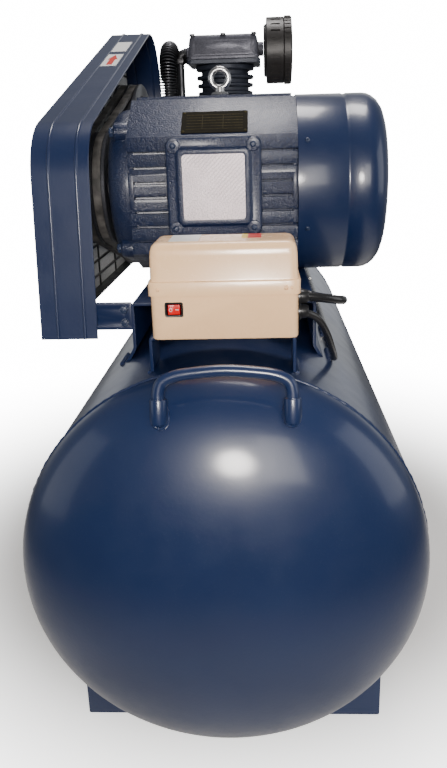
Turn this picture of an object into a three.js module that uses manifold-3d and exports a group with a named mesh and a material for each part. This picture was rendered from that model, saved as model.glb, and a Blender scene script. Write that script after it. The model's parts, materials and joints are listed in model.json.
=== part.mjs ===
// A belt-driven piston air compressor: a lying pressure tank carries a motor, a one-cylinder pump,
// a belt guard and a starter box. Units are millimetres, +Z is up, the tank lies along Y, the shafts
// lie along X. The shapes are built from the tank's axis at its front seam, and the last lines move
// the whole machine so that its origin is on the floor, in the middle of its footprint.
import * as THREE from "three";
import { mergeVertices } from "three/addons/utils/BufferGeometryUtils.js";
import Module from "manifold-3d";

const wasm = await Module();
wasm.setup();

// ---- driving dimensions ----
const GAP = 0.3; // between pieces that touch
const TANK_R = 250;
const TANK_WALL = 5;
const TANK_SIDES = 36;
const SHELL_LENGTH = 1150;
const HEAD_DEPTH = 112; // ellipsoidal part of a head
const HEAD_FLANGE = 6; // straight part of a head
const FLOOR_Z = -292;
const FOOT_HALF_WIDTH = 209;
const FOOT_DEPTH = 70;
const FOOT_INSET = 60; // from the seam to a foot

const PLATFORM_X = [-126, 122];
const PLATFORM_Y = [160, 985];
const PLATFORM_TOP = 292;
const SHEET = 4;

const SHAFT_HEIGHT = 134; // shaft centre above the platform, for both machines
const AXLE_Z = PLATFORM_TOP + GAP + SHAFT_HEIGHT;
const MOTOR_Y = 415;
const MOTOR_X = [-142, 104]; // cast frame
const MOTOR_R = 118;
const MOTOR_BORE_R = 100;
const MOTOR_SHAFT_R = 19;
const FAN_COVER_R = 133.6;
const FAN_COVER_X = [104.4, 212];

const BELT_X = -206;
const BELT_PITCH = 19;
const BELT_WIDTH = 12.5;
const BELT_THICK = 9;
const GROOVE_HALF = 7.2;
const GROOVE_DEPTH = 11;
const SHEAVE_WIDTH = 44;
const MOTOR_PULLEY_R = 87;
const FLYWHEEL_R = 177;

const GUARD_X = [-252, -174];
const GUARD_WALL = 3;
const GUARD_BOTTOM = 243;
const GUARD_BACK_Y = 985;

const PUMP_Y = 765;
const PUMP_X = -18; // cylinder axis
const BORE_R = 40;
const STROKE = 60;
const CRANKCASE_TOP = 505;
const DECK_Z = 632; // top of the cylinder
const FIN_PITCH = 19;
const HEAD_BOX = { x: [-86, 50], y: [705, 825], z: [640.6, 684] };
const CRANK_PIN_R = 12;
const CRANK_SHAFT_R = 15;
const FILTER_R = 60;
const FILTER_Z = 657;

const BOX_X = [-76, 92]; // starter box
const BOX_Y = [10, 92];
const BOX_Z = [280.3, 391];
const BOX_LIP = [332, 348];
const BOX_WALL = 3;
const ROCKER_X = -49;
const ROCKER_Z = 316.5;

const VALVES_Y = 1062; // valve manifold on the tank's top
const DRAIN_Y = 575;

// ---- solids ----
function toSolid(geometry) {
  const bare = geometry.clone();
  bare.deleteAttribute("normal");
  bare.deleteAttribute("uv");
  const merged = mergeVertices(bare, 1e-4);
  const vertProperties = new Float32Array(merged.attributes.position.array);
  const triVerts = new Uint32Array(merged.index.array);
  return new wasm.Manifold(new wasm.Mesh({ numProp: 3, vertProperties, triVerts }));
}

function toGeometry(solid) {
  const mesh = solid.getMesh();
  const geometry = new THREE.BufferGeometry();
  geometry.setAttribute("position", new THREE.BufferAttribute(new Float32Array(mesh.vertProperties), 3));
  geometry.setIndex(new THREE.BufferAttribute(new Uint32Array(mesh.triVerts), 1));
  geometry.computeVertexNormals();
  return geometry;
}

function join(...solids) {
  return solids.reduce((whole, next) => whole.add(next));
}

function box(x, y, z) {
  const geometry = new THREE.BoxGeometry(x[1] - x[0], y[1] - y[0], z[1] - z[0]);
  geometry.translate((x[0] + x[1]) / 2, (y[0] + y[1]) / 2, (z[0] + z[1]) / 2);
  return toSolid(geometry);
}

// Turns that carry a shape made around Y onto another axis, as cyclic swaps so nothing is mirrored.
const AXIS_TURN = {
  x: new THREE.Matrix4().set(0, 1, 0, 0, 0, 0, 1, 0, 1, 0, 0, 0, 0, 0, 0, 1),
  y: new THREE.Matrix4(),
  z: new THREE.Matrix4().set(0, 0, 1, 0, 1, 0, 0, 0, 0, 1, 0, 0, 0, 0, 0, 1),
};

// A round body about an axis. Each profile point is [radius, distance along the axis].
function turned(axis, centre, profile, sides) {
  const points = profile.map(([radius, along]) => new THREE.Vector2(radius, along));
  const geometry = new THREE.LatheGeometry(points, sides);
  geometry.applyMatrix4(AXIS_TURN[axis]);
  geometry.translate(...centre);
  return toSolid(geometry);
}

function rod(axis, centre, radius, from, to, sides = 20) {
  return turned(axis, centre, [[0, from], [radius, from], [radius, to], [0, to]], sides);
}

function pipe(axis, centre, outer, inner, from, to, sides = 24) {
  const profile = [[inner, from], [outer, from], [outer, to], [inner, to], [inner, from]];
  return turned(axis, centre, profile, sides);
}

function outline(points, holes = []) {
  const shape = new THREE.Shape(points.map(([u, v]) => new THREE.Vector2(u, v)));
  for (const hole of holes) {
    shape.holes.push(new THREE.Path(hole.map(([u, v]) => new THREE.Vector2(u, v))));
  }
  return shape;
}

function extruded(points, depth, holes) {
  return new THREE.ExtrudeGeometry(outline(points, holes), { depth, bevelEnabled: false, steps: 1 });
}

// A plate whose outline is given in (Y, Z), standing between two X planes.
function plateX(points, x, holes) {
  const geometry = extruded(points, x[1] - x[0], holes);
  geometry.applyMatrix4(new THREE.Matrix4().set(0, 0, 1, x[0], 1, 0, 0, 0, 0, 1, 0, 0, 0, 0, 0, 1));
  return toSolid(geometry);
}

// A plate whose outline is given in (X, Z), standing between two Y planes.
function plateY(points, y, holes) {
  const geometry = extruded(points, y[1] - y[0], holes);
  geometry.applyMatrix4(new THREE.Matrix4().set(1, 0, 0, 0, 0, 0, -1, y[1], 0, 1, 0, 0, 0, 0, 0, 1));
  return toSolid(geometry);
}

// A plate whose outline is given in (X, Y), lying between two heights.
function plateZ(points, z, holes) {
  const geometry = extruded(points, z[1] - z[0], holes);
  geometry.translate(0, 0, z[0]);
  return toSolid(geometry);
}

function arc(cu, cv, radius, fromDegrees, toDegrees, steps) {
  return Array.from({ length: steps + 1 }, (_, i) => {
    const angle = THREE.MathUtils.degToRad(fromDegrees + ((toDegrees - fromDegrees) * i) / steps);
    return [cu + radius * Math.cos(angle), cv + radius * Math.sin(angle)];
  });
}

function roundedRect(u, v, radius, steps = 3) {
  return [
    ...arc(u[1] - radius, v[1] - radius, radius, 0, 90, steps),
    ...arc(u[0] + radius, v[1] - radius, radius, 90, 180, steps),
    ...arc(u[0] + radius, v[0] + radius, radius, 180, 270, steps),
    ...arc(u[1] - radius, v[0] + radius, radius, 270, 360, steps),
  ];
}

// A round bar bent along a smooth curve through its points.
function bent(points, radius, steps, sides = 8) {
  const knots = points.map((p) => new THREE.Vector3(...p));
  const curve = new THREE.CatmullRomCurve3(knots, false, "centripetal");
  const section = new THREE.Shape(
    arc(0, 0, radius, 0, 360 - 360 / sides, sides - 1).map(([u, v]) => new THREE.Vector2(u, v)),
  );
  return toSolid(new THREE.ExtrudeGeometry(section, { steps, bevelEnabled: false, extrudePath: curve }));
}

function tankSpace(gap = GAP) {
  return rod("y", [0, 0, 0], TANK_R + gap, -1, SHELL_LENGTH + 1, 2 * TANK_SIDES);
}

// ---- paints ----
const PAINT = {
  navy: { color: 0x213a63, roughness: 0.32, metalness: 0.1 },
  cast: { color: 0x1c2f52, roughness: 0.55, metalness: 0.2 },
  pump: { color: 0x3a4250, roughness: 0.5, metalness: 0.3 },
  beige: { color: 0xe2cbae, roughness: 0.35, metalness: 0 },
  steel: { color: 0xb8bcc0, roughness: 0.3, metalness: 0.9 },
  brass: { color: 0xc8a24a, roughness: 0.3, metalness: 0.9 },
  copper: { color: 0x3b4658, roughness: 0.4, metalness: 0.6 },
  rubber: { color: 0x161616, roughness: 0.7, metalness: 0 },
  black: { color: 0x1a1b1d, roughness: 0.45, metalness: 0 },
  red: { color: 0xd01818, roughness: 0.3, metalness: 0 },
  iron: { color: 0x55585c, roughness: 0.6, metalness: 0.6 },
};

const machine = new THREE.Group();

function piece(name, solid, paint) {
  const mesh = new THREE.Mesh(toGeometry(solid), new THREE.MeshStandardMaterial(PAINT[paint]));
  mesh.name = name;
  machine.add(mesh);
}

// ---- tank ----
const HANDLE_X = 10; // middle of the handle
const HANDLE_HALF = 72;
const HANDLE_R = 8;
const SOCKET_R = 11.5;
const SOCKET_LENGTH = 20;
const HANDLE_FOOT = [-67, 215.5]; // (Y, Z) of a leg's lower end
const HANDLE_LEAN = [0.188, 0.982]; // (Y, Z) direction of the legs
const HANDLE_RISE = 47; // from a leg's lower end to the bar

function headProfile(radius, depth) {
  const steps = 6;
  return Array.from({ length: steps + 1 }, (_, i) => {
    const angle = (Math.PI / 2) * (1 - i / steps);
    return [i === steps ? radius : radius * Math.cos(angle), -HEAD_FLANGE - depth * Math.sin(angle)];
  });
}

function handlePoint(across, up) {
  return [HANDLE_X + across, HANDLE_FOOT[0] + HANDLE_LEAN[0] * up, HANDLE_FOOT[1] + HANDLE_LEAN[1] * up];
}

// A straight cylinder along a handle leg.
function legRod(side, radius, from, to, sides) {
  const geometry = new THREE.CylinderGeometry(radius, radius, to - from, sides);
  const lean = new THREE.Vector3(0, HANDLE_LEAN[0], HANDLE_LEAN[1]).normalize();
  geometry.applyQuaternion(new THREE.Quaternion().setFromUnitVectors(new THREE.Vector3(0, 1, 0), lean));
  geometry.translate(...handlePoint(side * HANDLE_HALF, (from + to) / 2));
  return toSolid(geometry);
}

function frontHead() {
  const outer = headProfile(TANK_R, HEAD_DEPTH);
  const inner = headProfile(TANK_R - TANK_WALL, HEAD_DEPTH - TANK_WALL).reverse();
  const seam = [[TANK_R, -GAP / 2], [TANK_R - TANK_WALL, -GAP / 2]];
  const cup = turned("y", [0, 0, 0], [...outer, ...seam, ...inner], TANK_SIDES);
  const sockets = [-1, 1].map((side) => {
    const bush = legRod(side, SOCKET_R, 0, SOCKET_LENGTH, 10);
    const foot = legRod(side, SOCKET_R - 3, 0, SOCKET_LENGTH - 2, 8).translate(0, 8, -6);
    return bush.add(foot).subtract(legRod(side, HANDLE_R + 0.9, 4, SOCKET_LENGTH + 5, 10));
  });
  const inside = headProfile(TANK_R - 3, HEAD_DEPTH - 3);
  const hollow = turned("y", [0, 0, 0], [...inside, [TANK_R - 3, 60], [0, 60]], TANK_SIDES);
  return cup.add(join(...sockets).subtract(hollow));
}

function frontHandle() {
  const bow = 3;
  const path = [
    handlePoint(-HANDLE_HALF, 5), handlePoint(-HANDLE_HALF, 16), handlePoint(-HANDLE_HALF, 27),
    handlePoint(-HANDLE_HALF + 4, 37), handlePoint(-HANDLE_HALF + 16, 44),
    handlePoint(-HANDLE_HALF / 2, HANDLE_RISE), handlePoint(0, HANDLE_RISE + bow),
    handlePoint(HANDLE_HALF / 2, HANDLE_RISE), handlePoint(HANDLE_HALF - 16, 44),
    handlePoint(HANDLE_HALF - 4, 37), handlePoint(HANDLE_HALF, 27), handlePoint(HANDLE_HALF, 16),
    handlePoint(HANDLE_HALF, 5),
  ];
  return bent(path, HANDLE_R, 26, 8);
}

// The rear end is the front end mirrored over the tank's middle.
function atRear(solid) {
  return solid.mirror([0, 1, 0]).translate(0, SHELL_LENGTH, 0);
}

function tankShell() {
  const ends = [GAP / 2, SHELL_LENGTH - GAP / 2];
  const shell = pipe("y", [0, 0, 0], TANK_R, TANK_R - TANK_WALL, ...ends, TANK_SIDES);
  const bosses = [
    rod("z", [0, VALVES_Y, 0], 22, 247, 262, 16),
    rod("z", [-160, 704, 0], 16, 175, 216, 16),
    rod("z", [0, DRAIN_Y, 0], 14, -262, -247, 16),
  ];
  const inside = rod("y", [0, 0, 0], TANK_R - TANK_WALL + 0.4, 0, SHELL_LENGTH, TANK_SIDES);
  return shell.add(join(...bosses).subtract(inside));
}

function foot() {
  const y = [FOOT_INSET, FOOT_INSET + FOOT_DEPTH];
  const half = FOOT_HALF_WIDTH;
  const top = -100;
  const block = box([-half, half], y, [FLOOR_Z, top]);
  const hollow = box([-half + SHEET, half - SHEET], [y[0] + SHEET, y[1] + 1], [FLOOR_Z + SHEET, top + 1]);
  const corners = box([-half - 1, half + 1], [y[0] - 1, y[1] + 1], [-141, top + 1]);
  return block.subtract(hollow).subtract(corners).subtract(tankSpace());
}

const frontHeadSolid = frontHead();
const frontHandleSolid = frontHandle();
const footSolid = foot();
piece("tank_shell", tankShell(), "navy");
piece("tank_head_front", frontHeadSolid, "navy");
piece("tank_head_rear", atRear(frontHeadSolid), "navy");
piece("handle_front", frontHandleSolid, "navy");
piece("handle_rear", atRear(frontHandleSolid), "navy");
piece("foot_front", footSolid, "navy");
piece("foot_rear", atRear(footSolid), "navy");

// ---- platform ----
function platform() {
  const [left, right] = PLATFORM_X;
  const kink = 230;
  const section = [
    [left, PLATFORM_TOP], [left, kink], [left - 17, 200], [left - 12, 198], [left + SHEET, kink - 1],
    [left + SHEET, PLATFORM_TOP - SHEET], [right - SHEET, PLATFORM_TOP - SHEET], [right - SHEET, kink - 1],
    [right + 12, 198], [right + 17, 200], [right, kink], [right, PLATFORM_TOP],
  ];
  return plateY(section, PLATFORM_Y).subtract(tankSpace());
}
piece("platform", platform(), "navy");

// ---- starter box ----
function starterBracket() {
  const left = [-83, -83 + SHEET];
  const right = [86, 86 + SHEET];
  const y = [28, 86];
  const shelf = box([left[0], right[1]], y, [BOX_Z[0] - GAP - SHEET, BOX_Z[0] - GAP]);
  const legs = [left, right].map((x) => box(x, y, [200, BOX_Z[0] - GAP - 1]));
  return join(shelf, ...legs).subtract(tankSpace());
}

function starterBase() {
  const outer = plateZ(roundedRect(BOX_X, BOX_Y, 10), [BOX_Z[0], BOX_LIP[1] - 2]);
  const inX = [BOX_X[0] + BOX_WALL, BOX_X[1] - BOX_WALL];
  const inY = [BOX_Y[0] + BOX_WALL, BOX_Y[1] - BOX_WALL];
  const hollow = plateZ(roundedRect(inX, inY, 7), [BOX_Z[0] + BOX_WALL, BOX_LIP[1]]);
  const switchX = [ROCKER_X - 9.7, ROCKER_X + 9.7];
  const switchHole = box(switchX, [BOX_Y[0] - 1, BOX_Y[0] + 5], [ROCKER_Z - 7.8, ROCKER_Z + 7.8]);
  const cableHoles = [300, 318].map((z) => rod("x", [0, 60, z], 7.4, BOX_X[1] - 5, BOX_X[1] + 1, 12));
  return outer.subtract(join(hollow, switchHole, ...cableHoles));
}

function starterCover() {
  const lip = 2.6;
  const grow = ([low, high], by) => [low - by, high + by];
  const skirt = plateZ(roundedRect(grow(BOX_X, lip), grow(BOX_Y, lip), 12), BOX_LIP);
  const dome = plateZ(roundedRect(BOX_X, BOX_Y, 10), [BOX_LIP[1] - 1, BOX_Z[1] - 6]);
  const top = plateZ(roundedRect(grow(BOX_X, -4), grow(BOX_Y, -4), 8), [BOX_Z[1] - 7, BOX_Z[1]]);
  const under = BOX_LIP[0] - 1;
  const socket = plateZ(roundedRect(grow(BOX_X, 0.35), grow(BOX_Y, 0.35), 10), [under, BOX_LIP[1] - 1]);
  const hollow = plateZ(roundedRect(grow(BOX_X, -7), grow(BOX_Y, -7), 6), [under, BOX_Z[1] - 4]);
  return join(skirt, dome, top).subtract(join(socket, hollow));
}

// A block around the rocker's centre, from one depth behind the box's front face to another.
function rockerBlock(halfX, halfZ, depth) {
  const y = depth.map((d) => BOX_Y[0] + d);
  return box([ROCKER_X - halfX, ROCKER_X + halfX], y, [ROCKER_Z - halfZ, ROCKER_Z + halfZ]);
}

function switchBezel() {
  const rim = rockerBlock(10.5, 8.5, [-2.3, -GAP]);
  const body = rockerBlock(9.4, 7.5, [-1, 20]);
  return join(rim, body).subtract(rockerBlock(8.4, 6.2, [-3, 12]));
}

function rocker() {
  const side = [[-6.6, -3], [0, -1], [6.6, -1], [6.2, 6], [0, 8], [-6.2, 6]];
  const points = side.map(([u, v]) => [ROCKER_X + u, BOX_Y[0] + v]);
  return plateZ(points, [ROCKER_Z - 5.6, ROCKER_Z + 5.6]);
}

piece("starter_bracket", starterBracket(), "navy");
piece("starter_base", starterBase(), "beige");
piece("starter_cover", starterCover(), "beige");
piece("contactor", box([2, 58], [20, 80], [283.8, 338]), "black");
piece("overload_relay", box([2, 58], [24, 76], [338.3, 372]), "black");
piece("switch_bezel", switchBezel(), "black");
piece("rocker", rocker(), "red");

// ---- motor ----
const TERMINAL_X = [-78, 52];
const TERMINAL_Z = [370, 502];
const SIDE_Y = MOTOR_Y - MOTOR_R; // flat side of the frame, which the terminal box sits on

// The ribbed outline of the cast frame in (Y, Z), from the shaft's centre.
function frameOutline() {
  const ribPitch = 21;
  const ribDepth = 12;
  const side = [];
  for (let z = 72; z > -74; z -= ribPitch) {
    side.push([MOTOR_R, z], [MOTOR_R, z - ribPitch + 5], [MOTOR_R - ribDepth, z - ribPitch + 5]);
    side.push([MOTOR_R - ribDepth, z - ribPitch]);
  }
  side.pop();
  side.pop();
  const right = [[44, 131], [MOTOR_R, 77], ...side, [MOTOR_R - 22, -100], [40, -124]];
  const left = right.map(([u, v]) => [-u, v]).reverse();
  return [...right, ...left].map(([u, v]) => [MOTOR_Y + u, AXLE_Z + v]).reverse();
}

function motorFrame() {
  const casting = plateX(frameOutline(), MOTOR_X);
  const feet = [-1, 1].flatMap((side) => {
    const y = side < 0 ? [MOTOR_Y - 135, MOTOR_Y - 60] : [MOTOR_Y + 60, MOTOR_Y + 135];
    const pad = box([-108, 82], y, [PLATFORM_TOP + GAP, PLATFORM_TOP + 16]);
    const legY = side < 0 ? [MOTOR_Y - 100, MOTOR_Y - 72] : [MOTOR_Y + 72, MOTOR_Y + 100];
    return [pad, box([-100, 74], legY, [PLATFORM_TOP + 10, PLATFORM_TOP + 60])];
  });
  const ridges = [-30, 0, 30].map((u) => {
    const y = [MOTOR_Y + u - 3, MOTOR_Y + u + 3];
    return box([MOTOR_X[0] + 6, MOTOR_X[1] - 6], y, [AXLE_Z + 120, AXLE_Z + 135]);
  });
  const bore = rod("x", [0, MOTOR_Y, AXLE_Z], MOTOR_BORE_R, MOTOR_X[0] - 1, MOTOR_X[1] + 1, 32);
  const boltHoles = [-1, 1].flatMap((u) => [-1, 1].map((v) => {
    return rod("z", [-13 + 75 * u, MOTOR_Y + 118 * v, 0], 6, PLATFORM_TOP - 1, PLATFORM_TOP + 20, 10);
  }));
  return join(casting, ...feet, ...ridges).subtract(join(bore, ...boltHoles));
}

function driveShield() {
  const [start, end] = [-179, MOTOR_X[0] - GAP];
  const centre = [0, MOTOR_Y, AXLE_Z];
  const shaftHole = MOTOR_SHAFT_R + 1;
  const profile = [
    [shaftHole, start], [52, start], [104, start + 6], [MOTOR_R, start + 20], [MOTOR_R, end], [99, end],
    [99, end - 6], [50, end - 18], [50, end], [shaftHole, end], [shaftHole, start],
  ];
  const dish = turned("x", centre, profile, 28);
  const ears = [45, 135, 225, 315].map((degrees) => {
    const angle = THREE.MathUtils.degToRad(degrees);
    const at = [0, MOTOR_Y + 120 * Math.cos(angle), AXLE_Z + 120 * Math.sin(angle)];
    return rod("x", at, 14, end - 22, end, 8);
  });
  const inside = rod("x", centre, 99, end - 6, end + 1, 28);
  return dish.add(join(...ears).subtract(inside));
}

function fanShield() {
  const start = MOTOR_X[1] + GAP;
  const shaftHole = MOTOR_SHAFT_R + 1;
  const profile = [
    [shaftHole, start - 18], [44, start - 18], [44, start], [MOTOR_R - 2, start], [MOTOR_R - 2, start + 9],
    [44, start + 16], [shaftHole, start + 16], [shaftHole, start - 18],
  ];
  return turned("x", [0, MOTOR_Y, AXLE_Z], profile, 24);
}

function fanCover() {
  const centre = [0, MOTOR_Y, AXLE_Z];
  const [start, end] = FAN_COVER_X;
  const wall = 2.5;
  const nose = 237;
  const profile = [
    [FAN_COVER_R, start], [FAN_COVER_R, end], [FAN_COVER_R - 10, end + 16], [FAN_COVER_R - 34, nose],
    [20, nose], [20, nose - wall], [FAN_COVER_R - 35, nose - wall], [FAN_COVER_R - 12.2, end + 14.6],
    [FAN_COVER_R - wall, end - 0.6], [FAN_COVER_R - wall, start], [FAN_COVER_R, start],
  ];
  const shell = turned("x", centre, profile, 32);
  const slots = Array.from({ length: 7 }, (_, i) => {
    const z = AXLE_Z + (i - 3) * 24;
    const half = Math.sqrt(92 ** 2 - (z - AXLE_Z) ** 2);
    return box([nose - 8, nose + 1], [MOTOR_Y - half, MOTOR_Y + half], [z - 6, z + 6]);
  });
  const spine = box([nose - wall, nose], [MOTOR_Y - 7, MOTOR_Y + 7], [AXLE_Z - 95, AXLE_Z + 95]);
  return shell.subtract(join(...slots)).add(spine);
}

function motorFan() {
  const centre = [0, MOTOR_Y, AXLE_Z];
  const hub = pipe("x", centre, 34, MOTOR_SHAFT_R - 3.6, 134, 172, 20);
  const disc = pipe("x", centre, 90, 30, 140, 143, 20);
  const blades = Array.from({ length: 7 }, (_, i) => {
    const blade = new THREE.BoxGeometry(34, 3, 86);
    blade.translate(157, 0, 30 + 43);
    blade.rotateX((i * 2 * Math.PI) / 7);
    blade.translate(...centre);
    return toSolid(blade);
  });
  return join(hub, disc, ...blades);
}

function rotorShaft() {
  const profile = [
    [0, -232], [MOTOR_SHAFT_R, -232], [MOTOR_SHAFT_R, -90], [60, -90], [60, 52], [MOTOR_SHAFT_R, 52],
    [MOTOR_SHAFT_R, 126], [MOTOR_SHAFT_R - 4, 126], [MOTOR_SHAFT_R - 4, 178], [0, 178],
  ];
  return turned("x", [0, MOTOR_Y, AXLE_Z], profile, 24);
}

function terminalBox() {
  const y = [240, SIDE_Y - GAP];
  const body = plateY(roundedRect(TERMINAL_X, TERMINAL_Z, 12), y);
  const hollow = plateY(roundedRect([-70, 44], [378, 494], 8), [y[0] - 1, y[1] - 6]);
  const wireHole = rod("y", [-13, 0, 436], 18, y[1] - 8, y[1] + 1, 14);
  const glandHole = rod("z", [24, 262, 0], 7.4, 365, 380, 12);
  return body.subtract(join(hollow, wireHole, glandHole));
}

function terminalCover() {
  const plate = plateY(roundedRect(TERMINAL_X, TERMINAL_Z, 14), [230, 240 - GAP]);
  const panel = plateY(roundedRect([-62, 36], [388, 484], 10), [226, 231]);
  return plate.add(panel);
}

function nameplate() {
  const slope = Math.atan2(131 - 77, MOTOR_R - 44);
  const plate = new THREE.BoxGeometry(96, 50, 1.2);
  plate.translate(0, -16, 0.6 + GAP);
  plate.rotateX(slope);
  plate.translate(-15, MOTOR_Y - (MOTOR_R + 44) / 2, AXLE_Z + (131 + 77) / 2);
  return toSolid(plate);
}

function eyebolt() {
  const section = arc(13.5, 0, 4.5, 0, 360, 6).map(([u, v]) => new THREE.Vector2(u, v));
  const ring = new THREE.LatheGeometry(section, 16);
  ring.translate(-11, MOTOR_Y, AXLE_Z + 160);
  const shank = rod("z", [-11, MOTOR_Y, 0], 7, AXLE_Z + 135 + GAP, AXLE_Z + 144, 12);
  return toSolid(ring).add(shank);
}

piece("motor_frame", motorFrame(), "cast");
piece("end_shield_drive", driveShield(), "cast");
piece("end_shield_fan", fanShield(), "cast");
piece("stator_core", pipe("x", [0, MOTOR_Y, AXLE_Z], MOTOR_BORE_R - 0.8, 62, -85, 50, 28), "iron");
piece("rotor_shaft", rotorShaft(), "steel");
piece("motor_fan", motorFan(), "black");
piece("fan_cover", fanCover(), "navy");
piece("terminal_box", terminalBox(), "cast");
piece("terminal_box_cover", terminalCover(), "cast");
piece("nameplate", nameplate(), "black");
piece("eyebolt", eyebolt(), "steel");

// ---- belt drive ----
const BELT_CENTRES = [BELT_X - BELT_PITCH / 2, BELT_X + BELT_PITCH / 2];
const SHEAVE_X = [BELT_X - SHEAVE_WIDTH / 2, BELT_X + SHEAVE_WIDTH / 2];

// The grooved outside of a sheave, from its left face to its right face.
function grooves(radius) {
  const bottom = radius - GROOVE_DEPTH;
  const points = [[radius, SHEAVE_X[0]]];
  for (const x of BELT_CENTRES) {
    const [from, to] = [x - GROOVE_HALF, x + GROOVE_HALF];
    points.push([radius, from], [bottom, from], [bottom, to], [radius, to]);
  }
  return [...points, [radius, SHEAVE_X[1]]];
}

function motorPulley() {
  const bore = MOTOR_SHAFT_R + 0.35;
  const profile = [
    [bore, SHEAVE_X[0]], ...grooves(MOTOR_PULLEY_R), [62, SHEAVE_X[1]], [62, SHEAVE_X[1] - 14],
    [34, SHEAVE_X[1] - 14], [34, SHEAVE_X[1]], [bore, SHEAVE_X[1]], [bore, SHEAVE_X[0]],
  ];
  return turned("x", [0, MOTOR_Y, AXLE_Z], profile, 24);
}

function flywheel() {
  const bore = CRANK_SHAFT_R + 0.35;
  const [left, right] = SHEAVE_X;
  const profile = [
    [bore, left], [34, left], [34, BELT_X - 8], [154, BELT_X - 8], [154, left], ...grooves(FLYWHEEL_R),
    [154, right], [154, BELT_X + 8], [34, BELT_X + 8], [34, right], [bore, right], [bore, left],
  ];
  const windows = Array.from({ length: 5 }, (_, i) => {
    const angle = ((i + 0.5) * 2 * Math.PI) / 5;
    const middle = [0, PUMP_Y + 94 * Math.cos(angle), AXLE_Z + 94 * Math.sin(angle)];
    return rod("x", middle, 40, BELT_X - 9, BELT_X + 9, 10);
  });
  return turned("x", [0, PUMP_Y, AXLE_Z], profile, 30).subtract(join(...windows));
}

// The loop around both sheaves in (Y, Z), as far out as the two radii say.
function beltLoop(smallRadius, bigRadius) {
  const lean = THREE.MathUtils.radToDeg(Math.asin((bigRadius - smallRadius) / (PUMP_Y - MOTOR_Y)));
  return [
    ...arc(PUMP_Y, AXLE_Z, bigRadius, -90 - lean, 90 + lean, 26),
    ...arc(MOTOR_Y, AXLE_Z, smallRadius, 90 + lean, 270 - lean, 16),
  ];
}

function belt(centreX) {
  const outer = beltLoop(MOTOR_PULLEY_R - 1, FLYWHEEL_R - 1);
  const inner = beltLoop(MOTOR_PULLEY_R - 1 - BELT_THICK, FLYWHEEL_R - 1 - BELT_THICK);
  return plateX(outer, [centreX - BELT_WIDTH / 2, centreX + BELT_WIDTH / 2], [inner]);
}

piece("motor_pulley", motorPulley(), "cast");
piece("flywheel", flywheel(), "cast");
piece("belt_1", belt(BELT_CENTRES[0]), "rubber");
piece("belt_2", belt(BELT_CENTRES[1]), "rubber");

// ---- belt guard ----
const GUARD_FRONT_Y = 160.1; // at the guard's lower edge; the front leans back from there
const GUARD_NEAR = { y: 270.7, z: 446, radius: 85 };
const GUARD_FAR = { y: 862, z: 583, radius: 123 };
const GUARD_LEAN = 7; // degrees from upright
const GUARD_SLOPE = 16.6;

// The guard's side view in (Y, Z), moved inwards by an inset.
function guardOutline(inset) {
  const { y, z, radius } = GUARD_NEAR;
  const near = arc(y, z, radius - inset, 180 - GUARD_LEAN, 90 + GUARD_SLOPE, 6);
  const far = arc(GUARD_FAR.y, GUARD_FAR.z, GUARD_FAR.radius - inset, 90 + GUARD_SLOPE, 0, 9);
  const frontY = GUARD_FRONT_Y + inset / Math.cos(THREE.MathUtils.degToRad(GUARD_LEAN));
  return [[frontY, GUARD_BOTTOM], ...near, ...far, [GUARD_BACK_Y - inset, GUARD_BOTTOM]].reverse();
}

function guardBand() {
  const strip = [...guardOutline(0), ...guardOutline(GUARD_WALL).reverse()];
  return plateX(strip, GUARD_X);
}

function guardGrille() {
  const face = guardOutline(GUARD_WALL + GAP);
  const rise = Math.tan(THREE.MathUtils.degToRad(GUARD_SLOPE));
  const slots = [];
  for (let y = 225; y < 930; y += 55) {
    const top = Math.min(520 + (y - 250) * rise, 655) - 25;
    slots.push(box([GUARD_X[0] - 1, GUARD_X[0] + 20], [y, y + 40], [300, top]));
  }
  const x = [GUARD_X[0], GUARD_X[0] + GUARD_WALL];
  const panel = plateX(face, x).subtract(join(...slots));
  const lipY = [GUARD_FRONT_Y + 5, GUARD_BACK_Y - 5];
  const lip = box([x[0] + 1, x[0] + 12], lipY, [GUARD_BOTTOM, GUARD_BOTTOM + GUARD_WALL]);
  return panel.add(lip);
}

function guardBracket(y) {
  return box([-206, PLATFORM_X[0] - GAP], y, [253, 291]);
}

piece("guard_band", guardBand(), "navy");
piece("guard_grille", guardGrille(), "navy");
piece("guard_bracket_front", guardBracket([169.6, 173.6]), "navy");
piece("guard_bracket_rear", guardBracket([977.7, 981.7]), "navy");

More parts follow.
